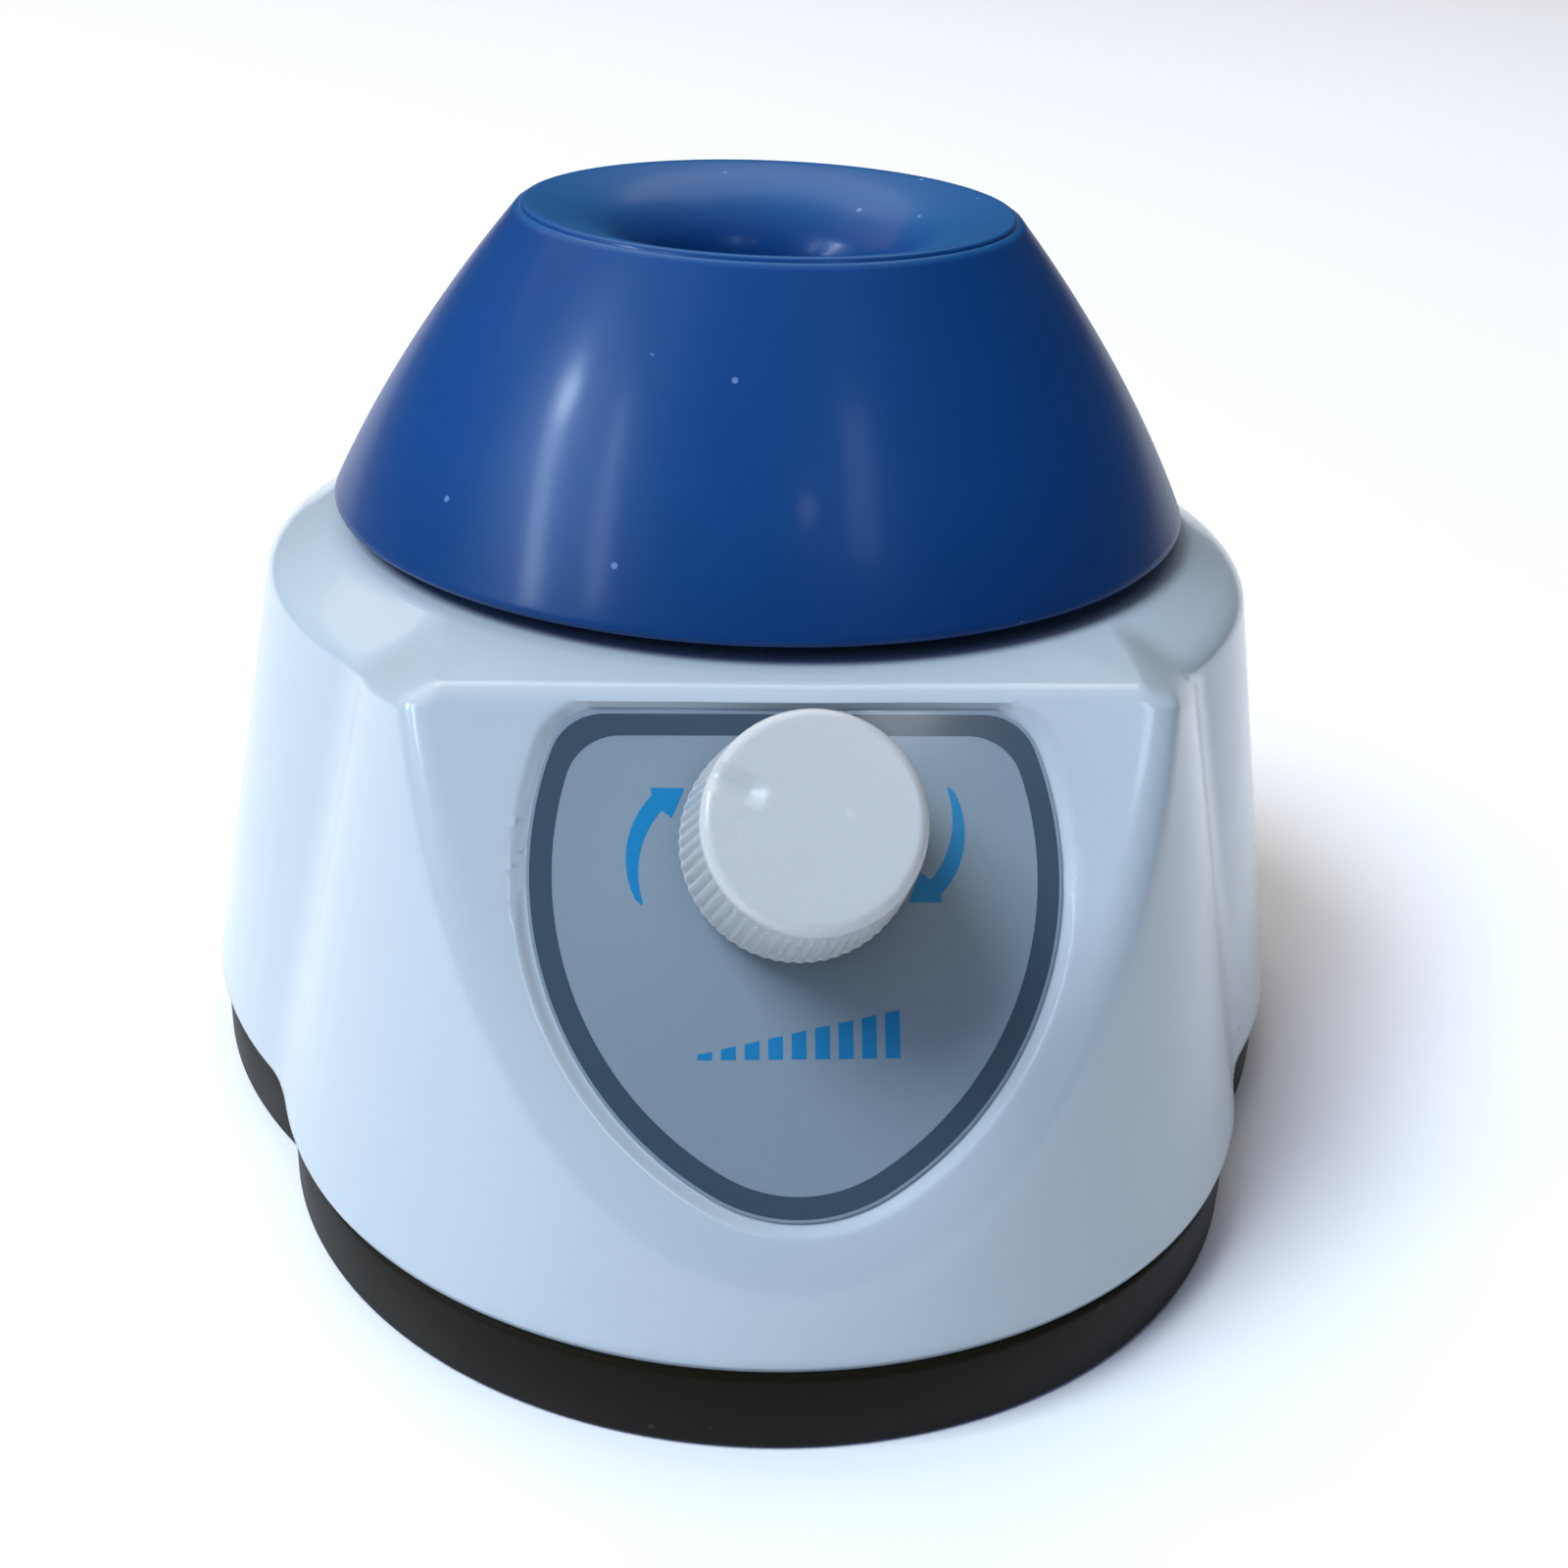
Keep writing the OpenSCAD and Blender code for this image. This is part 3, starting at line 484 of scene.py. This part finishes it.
casing_white, tree, shader, place = new_material(
    "casing_white", IOR=1.5, Coat_Weight=0.3, Coat_Roughness=0.05)
texture = place_group(tree, grain, place, Fine=700.0, Coarse=45.0)
swell = texture.outputs["Swell"]
tone = mix_colour(tree, swell, (0.45, 0.525, 0.565, 1), (0.475, 0.55, 0.59, 1))
add_dust(tree, shader, place, tone, (0.25, 0.26, 0.28, 1), 0.5, Scale=210.0, Size=0.07, Amount=0.05)
tree.links.new(spread(tree, swell, 0.16, 0.26), shader.inputs["Roughness"])
add_bump(tree, shader, texture.outputs["Height"], 0.00002, 0.35)
casing.data.materials.append(casing_white)
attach(casing, "base")
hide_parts("housing")

# ---- Base tray, feet, ballast and screws ----
# A brown-black moulded tray with a matt spark-eroded texture closes the casing. It
# holds a steel ballast plate and stands on four rubber feet behind its low rim.
# Four zinc-plated screws go up through it into the casing's posts.
base_black, tree, shader, place = new_material("base_black", Specular_IOR_Level=0.1)
texture = place_group(tree, grain, place, Fine=2200.0, Coarse=70.0)
swell = texture.outputs["Swell"]
tone = mix_colour(tree, swell, (0.0058, 0.0045, 0.0016, 1), (0.0078, 0.0062, 0.0024, 1))
add_dust(tree, shader, place, tone, (0.05, 0.045, 0.04, 1), 0.4, Scale=420.0, Size=0.12, Amount=0.06)
tree.links.new(spread(tree, swell, 0.42, 0.6), shader.inputs["Roughness"])
add_bump(tree, shader, texture.outputs["Height"], 0.00006, 0.6)
tray_r, tray_nose_r, tray_nose_y = 56.4, 45.6, 28.7
tray_turns = np.radians(np.arange(0, 360, 1.0))


def tray_edge(inset):
    """Distance of the tray's outline from the drive axis, moved inwards by inset."""
    ahead = (tray_nose_r - inset) ** 2 - (tray_nose_y * np.sin(tray_turns)) ** 2
    nose = tray_nose_y * np.cos(tray_turns) + np.sqrt(np.maximum(0, ahead))
    return np.maximum(tray_r - inset, np.where((np.cos(tray_turns) > 0) & (ahead > 0), nose, 0))


floor_low, rim_low, floor_high, lip_high = 1.0, 0.15, 3.4, 9.0
rows = [(1.9, floor_low), (1.8, rim_low + 0.1), (1.6, rim_low), (0.45, rim_low), (0.13, 0.28), (0, 0.6),
        (0, base_z - 0.6), (0.06, base_z - 0.3), (0.28, base_z - 0.05), (0.5, base_z), (4.0, base_z),
        (4.0, lip_high - 0.2), (4.2, lip_high), (5.4, lip_high), (5.6, lip_high - 0.2), (5.6, floor_high)]
count = len(tray_turns)
points = []
for inset, z in rows:
    r = tray_edge(inset)
    points.append(np.column_stack([r * np.sin(tray_turns), -r * np.cos(tray_turns), np.full(count, z)]))
points = np.concatenate(points)
faces = []
for i in range(len(rows) - 1):
    band(i, i + 1, count, faces)
fan(0, count, len(points), False, faces)
fan(len(rows) - 1, count, len(points) + 1, True, faces)
points = np.concatenate([points, [[0, 0, floor_low], [0, 0, floor_high]]])
tray = make_mesh("tray_moulding", points, faces, (0, axis_y, 0))
foot_places = []
for a in (math.radians(d) for d in (24, -24, 155, -155)):
    r = float(np.interp(a % (2 * math.pi), tray_turns, tray_edge(0))) - 12.5
    foot_places.append((r * math.sin(a), -r * math.cos(a)))
foot_pocket_r, screw_hole_r, screw_head_r, pass_gap = 6.05, 1.7, 3.3, 0.3
cut_or_join(tray, "DIFFERENCE",
            [rod(foot_pocket_r, x, y, -1, 1.8) for x, y in foot_places]
            + [rod(screw_hole_r, x, y, -1, 10) for x, y in post_places]
            + [rod(screw_head_r, x, y, -1, 2.4) for x, y in post_places]
            + [rod(post_r + pass_gap, x, y, floor_high, 12) for x, y in post_places])
shade_by_angle(tray, 35)
tray.data.materials.append(base_black)
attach(tray, "base")
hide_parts("base_tray")


def paint(names, material):
    """Gives CAD nodes their material in every slot."""
    for name in names:
        mesh = node[name].data
        if not mesh.materials:
            mesh.materials.append(material)
        for i in range(len(mesh.materials)):
            mesh.materials[i] = material


def plain_material(name, colour, roughness, metallic=0.0, fine=900.0, coarse=60.0, bump=0.00003,
                   change=0.15, specks=0.03):
    """A surface with grain, a slow change of tone and gloss, and a little dust."""
    made, tree, shader, place = new_material(name, Metallic=metallic)
    texture = place_group(tree, grain, place, Fine=fine, Coarse=coarse)
    swell = texture.outputs["Swell"]
    low = tuple(c * (1 - change) for c in colour) + (1,)
    high = tuple(min(1, c * (1 + change)) for c in colour) + (1,)
    pale = tuple(0.6 * c + 0.12 for c in colour) + (1,)
    tone = mix_colour(tree, swell, low, high)
    add_dust(tree, shader, place, tone, pale, 0.5, Scale=380.0, Size=0.1, Amount=specks)
    gloss = spread(tree, swell, roughness * 0.8, min(1, roughness * 1.25))
    tree.links.new(gloss, shader.inputs["Roughness"])
    add_bump(tree, shader, texture.outputs["Height"], bump, 0.5)
    return made


foot_rubber = plain_material(
    "foot_rubber", (0.028, 0.028, 0.028), 0.75, fine=1500.0, bump=0.00006, specks=0.12)
rolled_steel = plain_material(
    "rolled_steel", (0.50, 0.51, 0.53), 0.34, metallic=1.0, fine=1300.0, coarse=25.0, bump=0.00002)
zinc_plate = plain_material(
    "zinc_plate", (0.66, 0.67, 0.70), 0.26, metallic=1.0, fine=1800.0, coarse=150.0, bump=0.00001,
    change=0.08)
paint(["feet"], foot_rubber)
paint(["ballast_plate"], rolled_steel)
paint(["base_screws", "board_screws", "motor_screws", "plate_screws", "pin_washer", "pin_screw",
       "pot_washer", "pot_nut", "socket_nut"], zinc_plate)

# ---- Front label ----
# A thin glossy film in the recess: a slate border round a blue-grey field, with
# two curved arrows that show which way the knob turns, and a wedge of bars that
# grows with the speed. The print is a few hundredths of a millimetre thick.
film_low, film_top, print_t, border = -0.8, -0.55, 0.015, 2.05


def plate_of(name, outline, low, high):
    """A flat closed plate on the control face, from an outline in mm."""
    n = len(outline)
    points = np.concatenate([np.column_stack([outline, np.full(n, w)]) for w in (low, high)])
    faces = [tuple(range(n - 1, -1, -1)), tuple(range(n, 2 * n))]
    faces += [(i, (i + 1) % n, n + (i + 1) % n, n + i) for i in range(n)]
    return make_mesh(name, from_face(points), faces, (0, axis_y, 0))


def film_material(name, low, high, roughness=0.16):
    """Printed film: a tone that changes a little from foot to top, under a clear gloss."""
    made, tree, shader, place = new_material(
        name, Coat_Roughness=0.08, Coat_Weight=0.1, Specular_IOR_Level=0.25)
    texture = place_group(tree, grain, place, Fine=1600.0, Coarse=40.0)
    swell = texture.outputs["Swell"]
    split = add_node(tree, "ShaderNodeSeparateXYZ", Vector=place)
    rise = share_of(tree, split.outputs[2], label_foot * mm, label_head * mm)
    tone = mix_colour(tree, rise, low + (1,), high + (1,))
    tone = mix_colour(tree, math_node(tree, "MULTIPLY", swell, 0.02), tone, (1, 1, 1, 1))
    add_dust(tree, shader, place, tone, (0.7, 0.72, 0.75, 1), 0.4, Scale=260.0, Size=0.06, Amount=0.05)
    tree.links.new(spread(tree, swell, roughness * 0.8, roughness * 1.4), shader.inputs["Roughness"])
    add_bump(tree, shader, texture.outputs["Height"], 0.00001, 0.4)
    return made


film_field = film_material("film_field", (0.20, 0.258, 0.30), (0.22, 0.28, 0.325))
film_border = film_material("film_border", (0.035, 0.062, 0.092), (0.040, 0.070, 0.10))
film_blue = film_material("film_blue", (0.004, 0.17, 0.37), (0.004, 0.20, 0.42))
label = plate_of("front_label_film", label_outline(0), film_low, film_top)
label.data.materials.append(film_field)
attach(label, "base")
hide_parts("front_label")


def resample(outline, count):
    """The outline as count points at even steps along its length."""
    closed = np.concatenate([outline, outline[:1]])
    run = np.concatenate([[0], np.cumsum(np.hypot(*np.diff(closed, axis=0).T))])
    at = np.linspace(0, run[-1], count, endpoint=False)
    return np.column_stack([np.interp(at, run, closed[:, 0]), np.interp(at, run, closed[:, 1])])


ring_count, print_top = 200, film_top + print_t
outside_line = resample(label_outline(0.25), ring_count)
inside_line = resample(label_outline(border), ring_count)
corners = ((outside_line, film_top), (outside_line, print_top),
           (inside_line, print_top), (inside_line, film_top))
points = [np.column_stack([line, np.full(ring_count, w)]) for line, w in corners]
faces = []
for k in range(4):
    band(k, (k + 1) % 4, ring_count, faces)
border_ring = make_mesh("label_border", from_face(np.concatenate(points)), faces, (0, axis_y, 0))
border_ring.data.materials.append(film_border)


def arc_points(centre, r, start, end, count):
    turns = np.radians(np.linspace(start, end, count))
    return [(centre[0] + r * math.cos(a), centre[1] + r * math.sin(a)) for a in turns]


tail, head = [(-12.6, -4.9)], [(-11.9, 4.75), (-9.1, 4.7), (-10.15, 2.25), (-10.95, 2.85)]
arrow = np.array(tail + arc_points((-6.4, -1.1), 7.5, 205, 136, 12) + head
                 + arc_points((-5.2, -2.2), 7.7, 142, 198, 10))[::-1]
arrow_left = plate_of("label_arrow_left", arrow + (0, knob_up_face), film_top, print_top)
arrow_right = plate_of("label_arrow_right", -arrow + (0, knob_up_face), film_top, print_top)
bar_low, bar_half, bar_pitch, bar_count = 12.9, 0.6, 1.9, 9
bars = []
for i in range(bar_count):
    u, high = -7.6 + bar_pitch * i, bar_low + (0.7 + 0.4 * i)
    bar = np.array([(u - bar_half, bar_low), (u + bar_half, bar_low), (u + bar_half, high),
                    (u - bar_half, high - 0.25)])
    bars.append(plate_of("label_bar_%d" % (i + 1), bar, film_top, print_top))
for piece in [border_ring, arrow_left, arrow_right] + bars:
    if not piece.data.materials:
        piece.data.materials.append(film_blue)
    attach(piece, "base")

# ---- Speed knob ----
# A glossy warm-white knob pressed on the potentiometer's spindle. Sixty rounded
# flutes fade out below its smooth front edge, and a soft dimple marks the pointer.
knob_r, knob_low, knob_high, knob_taper, knob_edge = 9.7, 1.0, 15.5, 1.1, 1.0
flutes, flute_depth, flute_fade = 60, 0.28, 3.2
bore_r, bore_high, hollow_r, hollow_high = 3.05, 13.7, 6.9, 4.3
pointer, dimple_start, dimple_half, dimple_depth = math.radians(65), 3.7, 1.25, 0.72
front_r, side_low, side_high = knob_r - knob_taper, knob_low + 0.6, knob_high - knob_edge
profile = [(knob_r, knob_low + 0.25), (knob_r - 0.03, side_low)]
for t in np.linspace(0.08, 1, 14):
    profile.append((knob_r - knob_taper * t, side_low + (side_high - side_low) * t))
for a in np.radians(np.linspace(8, 90, 10)):
    profile.append((front_r - knob_edge + knob_edge * math.cos(a), side_high + knob_edge * math.sin(a)))
for r in np.linspace(front_r - knob_edge - 0.25, 0.25, 30):
    profile.append((r, knob_high))
inside = [(bore_r, bore_high), (bore_r, hollow_high), (hollow_r, hollow_high), (hollow_r, knob_low + 0.2),
          (hollow_r + 0.2, knob_low), (knob_r - 0.25, knob_low)]
turn_count = flutes * 8
turns = np.linspace(0, 2 * math.pi, turn_count, endpoint=False)
wave = 0.5 - 0.5 * np.cos(turns * flutes)
points = []
for i, (r, w) in enumerate(profile + inside):
    below_edge = min(1.0, max(0.0, (knob_high - 0.5 * knob_edge - w) / flute_fade))
    depth = flute_depth * (3 - 2 * below_edge) * below_edge ** 2 * (0.4 if i == 0 else 1)
    ring_r = r - (depth if i < len(profile) else 0) * wave ** 1.4
    points.append(np.column_stack([ring_r * np.cos(turns), ring_r * np.sin(turns), np.full(turn_count, w)]))
points = np.concatenate(points)
front_face = points[:, 2] > knob_high - 1.2
along = points[:, 0] * -math.sin(pointer) + points[:, 1] * math.cos(pointer)
across = points[:, 0] * math.cos(pointer) + points[:, 1] * math.sin(pointer)
reach = np.clip((along - dimple_start) / 1.9, 0, 1)
dip = np.clip(1 - (across / dimple_half) ** 2, 0, 1) ** 1.2 * reach * reach * (3 - 2 * reach)
points[:, 2] -= np.where(front_face & (along > 0), dimple_depth * dip, 0)
tip_row, rows = len(profile), len(profile) + len(inside)
faces = []
for i in range(rows):
    if i != tip_row - 1:
        band(i, (i + 1) % rows, turn_count, faces)
fan(tip_row - 1, turn_count, len(points), True, faces)
fan(tip_row, turn_count, len(points) + 1, False, faces)
points = np.concatenate([points, [[0, 0, knob_high], [0, 0, bore_high]]])
points[:, 1] += knob_up_face
knob = make_mesh("speed_knob_cap", from_face(points), faces, (0, axis_y, 0))
shade_by_angle(knob, 50)
knob_white, tree, shader, place = new_material(
    "knob_white", IOR=1.5, Subsurface_Weight=0.06, Subsurface_Scale=0.002)
texture = place_group(tree, grain, place, Fine=900.0, Coarse=110.0)
swell = texture.outputs["Swell"]
tone = mix_colour(tree, swell, (0.53, 0.545, 0.535, 1), (0.56, 0.575, 0.565, 1))
add_dust(tree, shader, place, tone, (0.3, 0.3, 0.3, 1), 0.5, Scale=420.0, Size=0.06, Amount=0.04)
tree.links.new(spread(tree, swell, 0.18, 0.32), shader.inputs["Roughness"])
add_bump(tree, shader, texture.outputs["Height"], 0.00005, 0.4)
knob.data.materials.append(knob_white)
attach(knob, "knob")
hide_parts("speed_knob")

# ---- Potentiometer ----
# A pressed alloy can behind the face, with a threaded bush that the washer and
# nut clamp, and a 6 mm turned spindle for the knob.
pressed_alloy = plain_material(
    "pressed_alloy", (0.55, 0.56, 0.57), 0.38, metallic=1.0, fine=700.0, coarse=90.0)
turned_alloy = plain_material(
    "turned_alloy", (0.70, 0.71, 0.72), 0.24, metallic=1.0, fine=2600.0, coarse=300.0, bump=0.00001)
paint(["pot_body"], pressed_alloy)
paint(["pot_shaft"], turned_alloy)

# ---- Rubber cup ----
# A thick cup of deep blue glossy rubber. Its side bows out a little from the
# skirt to a crisp rim; inside, a shallow dish turns down into the tube well.
# Surfaces that face up, as in the dish, are painted paler as painted light
# from above, and the side is painted darker towards the skirt as painted shade.
pin_y = axis_y + 1.5
cup_low, cup_high, cup_rim_r, cup_bow, cup_wall = 57, 84.8, 23.9, 1.3, 4.2
cup_span = cup_high - cup_low


def cup_side(t):
    return cup_foot_r + (cup_rim_r - cup_foot_r) * t + 4 * cup_bow * t * (1 - t)


rim, skirt_h = 0.55, 0.5
mouth, well_r, floor_top, floor_t = cup_high - 5.4, 12, 68.95, 2.6
hub_seat_r, hub_seat_z = 12.05, 60.0
profile = [(cup_foot_r - inset, cup_low - skirt_h + rise) for inset, rise in (
    (cup_wall, 0), (0.6, 0), (0.35, 0.06), (0.22, 0.18), (0.16, 0.35), (0.08, 0.47))]
skirt_end = len(profile)
for t in np.linspace(0.003, 1 - rim / cup_span, 62):
    profile.append((cup_side(t) - 0.06, cup_low + cup_span * t))
side_end = len(profile)
for a in np.radians(np.linspace(15, 90, 7)):
    profile.append((cup_side(1) - 0.04 - rim + rim * math.cos(a), cup_high - rim + rim * math.sin(a)))
for k in np.linspace(0, 1, 22):
    profile.append((cup_rim_r - 1.4 - (cup_rim_r - 2.0 - well_r) * k,
                    cup_high - 0.12 - (cup_high - mouth - 0.12) * (0.45 * k + 0.55 * k ** 3)))
profile += [(well_r - 0.1, mouth - 1.3), (well_r - 0.28, mouth - 2.1), (well_r - 0.5, mouth - 3),
            (well_r - 0.85, mouth - 5.2), (well_r - 1.2, floor_top + 2.2), (well_r - 1.5, floor_top + 1.3),
            (well_r - 2, floor_top + 0.7), (well_r - 2.8, floor_top + 0.2), (well_r - 3.6, floor_top),
            (6, floor_top), (3, floor_top), (0.4, floor_top)]
top_rows = len(profile)
under = [(0.4, floor_top - floor_t), (hub_seat_r, floor_top - floor_t), (hub_seat_r, hub_seat_z),
         (16.5, hub_seat_z), (17, mouth - 6), (20, mouth - 4.6)]
under += [(cup_side(t) - cup_wall, cup_low + cup_span * t) for t in np.linspace(0.64, 0.05, 12)]
turn_count = 256
turns = np.linspace(0, 2 * math.pi, turn_count, endpoint=False)
uneven = np.sin(3 * turns + 0.8) + 0.6 * np.sin(5 * turns + 2.1)
points = []
for i, (r, z) in enumerate(profile + under):
    on_side = skirt_end <= i < side_end
    sway = 0.05 * math.sin(math.pi * (z - cup_low) / cup_span) if on_side else 0
    ring_r = r + sway * uneven
    points.append(np.column_stack([ring_r * np.cos(turns), ring_r * np.sin(turns), np.full(turn_count, z)]))
points = np.concatenate(points)
rows = top_rows + len(under)
faces = []
for i in range(rows):
    if i != top_rows - 1:
        band(i, (i + 1) % rows, turn_count, faces)
fan(top_rows - 1, turn_count, len(points), True, faces)
fan(top_rows, turn_count, len(points) + 1, False, faces)
points = np.concatenate([points, [[0, 0, floor_top], [0, 0, floor_top - floor_t]]])
cup = make_mesh("mixing_cup", points, faces, (0, pin_y, 0))
shade_by_angle(cup, 40)
cup_blue, tree, shader, place = new_material(
    "cup_blue", IOR=1.5, Specular_IOR_Level=0.15, Coat_Weight=0.12, Coat_Roughness=0.14, Coat_IOR=1.45)
texture = place_group(tree, grain, place, Fine=520.0, Coarse=55.0)
swell = texture.outputs["Swell"]
specks = place_group(tree, dust, place, Scale=200.0, Size=0.06, Amount=0.35)
marks = place_group(tree, scratches, place, Scale=110.0, Length=0.0014, Width=0.00011, Amount=0.22)
pits = place_group(tree, dust, place, Scale=330.0, Size=0.22, Amount=0.05)
split = add_node(tree, "ShaderNodeSeparateXYZ", Vector=place)
# Painted shade: the side is painted darker towards the skirt, where less light bounces up from the deck.
above_painted_skirt_shade = share_of(tree, split.outputs[2], (cup_low - 1) * mm, (cup_low + 11) * mm)
tone = mix_colour(tree, swell, (0.0035, 0.045, 0.175, 1), (0.005, 0.053, 0.20, 1))
tone = mix_colour(tree, above_painted_skirt_shade, mix_colour(tree, 0.75, (0.001, 0.008, 0.035, 1), tone), tone)
# Painted light: surfaces that face up, most of all in the dish, are painted a paler blue as if lit from
# above.
geometry = tree.nodes.new("ShaderNodeNewGeometry")
facing = add_node(tree, "ShaderNodeSeparateXYZ", Vector=geometry.outputs["Normal"])
facing_up_painted_light = share_of(tree, facing.outputs[2], 0.7, 0.9)
tone = mix_colour(tree, facing_up_painted_light, tone, (0.011, 0.092, 0.25, 1))
worn = math_node(tree, "MAXIMUM", math_node(tree, "MULTIPLY", specks.outputs["Mask"], 0.5),
                 math_node(tree, "MULTIPLY", marks.outputs["Mask"], 0.35))
tree.links.new(mix_colour(tree, worn, tone, (0.22, 0.36, 0.60, 1)), shader.inputs["Base Color"])
gloss = math_node(tree, "ADD", spread(tree, swell, 0.30, 0.42), math_node(tree, "MULTIPLY", worn, 0.3))
tree.links.new(gloss, shader.inputs["Roughness"])
pit_depth = math_node(tree, "MULTIPLY", pits.outputs["Mask"], 0.4)
dents = math_node(tree, "SUBTRACT", texture.outputs["Height"], pit_depth)
add_bump(tree, shader, dents, 0.0001, 0.5)
cup.data.materials.append(cup_blue)
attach(cup, "cup")
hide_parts("rubber_cup")

# ---- Cup hub and guide ring ----
# The hub is moulded in natural acetal with three pins under its flange, and the
# rubber is moulded round it. The pins run in the pockets of the acetal ring that
# is pressed into the deck, so the cup circles without turning.
acetal = plain_material("acetal", (0.74, 0.73, 0.67), 0.35, fine=600.0, coarse=50.0, change=0.04)
paint(["cup_hub", "guide_ring"], acetal)

# ---- Motor, its plate and dampers ----
# A drawn steel can with a black end cap hangs from an alloy plate, which floats
# on rubber dampers under the deck.
drawn_steel = plain_material(
    "drawn_steel", (0.60, 0.61, 0.62), 0.30, metallic=1.0, fine=2000.0, coarse=35.0, bump=0.00002,
    change=0.08)
black_plastic = plain_material("black_plastic", (0.022, 0.022, 0.024), 0.45, fine=1500.0, coarse=80.0)
cast_alloy = plain_material(
    "cast_alloy", (0.58, 0.59, 0.61), 0.42, metallic=1.0, fine=500.0, coarse=40.0, bump=0.00005)
soft_rubber = plain_material("soft_rubber", (0.03, 0.03, 0.03), 0.8, fine=1200.0, coarse=120.0, specks=0.1)
paint(["motor_can"], drawn_steel)
paint(["motor_end_cap", "power_socket"], black_plastic)
paint(["motor_plate"], cast_alloy)
paint(["plate_dampers"], soft_rubber)

# ---- Eccentric drive and bearing ----
# A turned brass hub with an offset pin and a half-round balance weight is held on
# the motor's shaft by a black grub screw, and a ball bearing turns on its pin.
turned_brass = plain_material(
    "turned_brass", (0.70, 0.50, 0.19), 0.28, metallic=1.0, fine=2400.0, coarse=120.0, bump=0.00001,
    change=0.1)
ground_steel = plain_material(
    "ground_steel", (0.72, 0.73, 0.75), 0.14, metallic=1.0, fine=3000.0, coarse=200.0, bump=0.000005,
    change=0.04, specks=0.0)
black_oxide = plain_material(
    "black_oxide", (0.035, 0.035, 0.04), 0.4, metallic=0.6, fine=1800.0, coarse=150.0)
paint(["eccentric"], turned_brass)
paint(["motor_shaft", "bearing_inner", "bearing_balls", "bearing_outer"], ground_steel)
paint(["grub_screw"], black_oxide)

# ---- Circuit board ----
# A small green board on brass pillars carries the capacitor, the transistor and
# the terminal block of the speed control.
board_green, tree, shader, place = new_material("board_green", Roughness=0.3, Coat_Weight=0.3)
weave = add_node(tree, "ShaderNodeTexBrick", Vector=place, Scale=900.0)
weave.inputs["Color1"].default_value = (0.012, 0.12, 0.045, 1)
weave.inputs["Color2"].default_value = (0.016, 0.15, 0.055, 1)
weave.inputs["Mortar"].default_value = (0.010, 0.10, 0.040, 1)
tree.links.new(weave.outputs["Color"], shader.inputs["Base Color"])
add_bump(tree, shader, weave.outputs["Fac"], 0.00001, 0.4)
brass_pillar = plain_material(
    "brass_pillar", (0.68, 0.52, 0.24), 0.3, metallic=1.0, fine=2200.0, coarse=160.0)
sleeve_blue = plain_material("sleeve_blue", (0.02, 0.035, 0.11), 0.25, fine=700.0, coarse=200.0)
terminal_green = plain_material("terminal_green", (0.03, 0.22, 0.09), 0.4, fine=900.0, coarse=120.0)
paint(["circuit_board"], board_green)
paint(["board_pillars"], brass_pillar)
paint(["board_capacitor"], sleeve_blue)
paint(["board_transistor"], black_plastic)
paint(["board_terminals"], terminal_green)
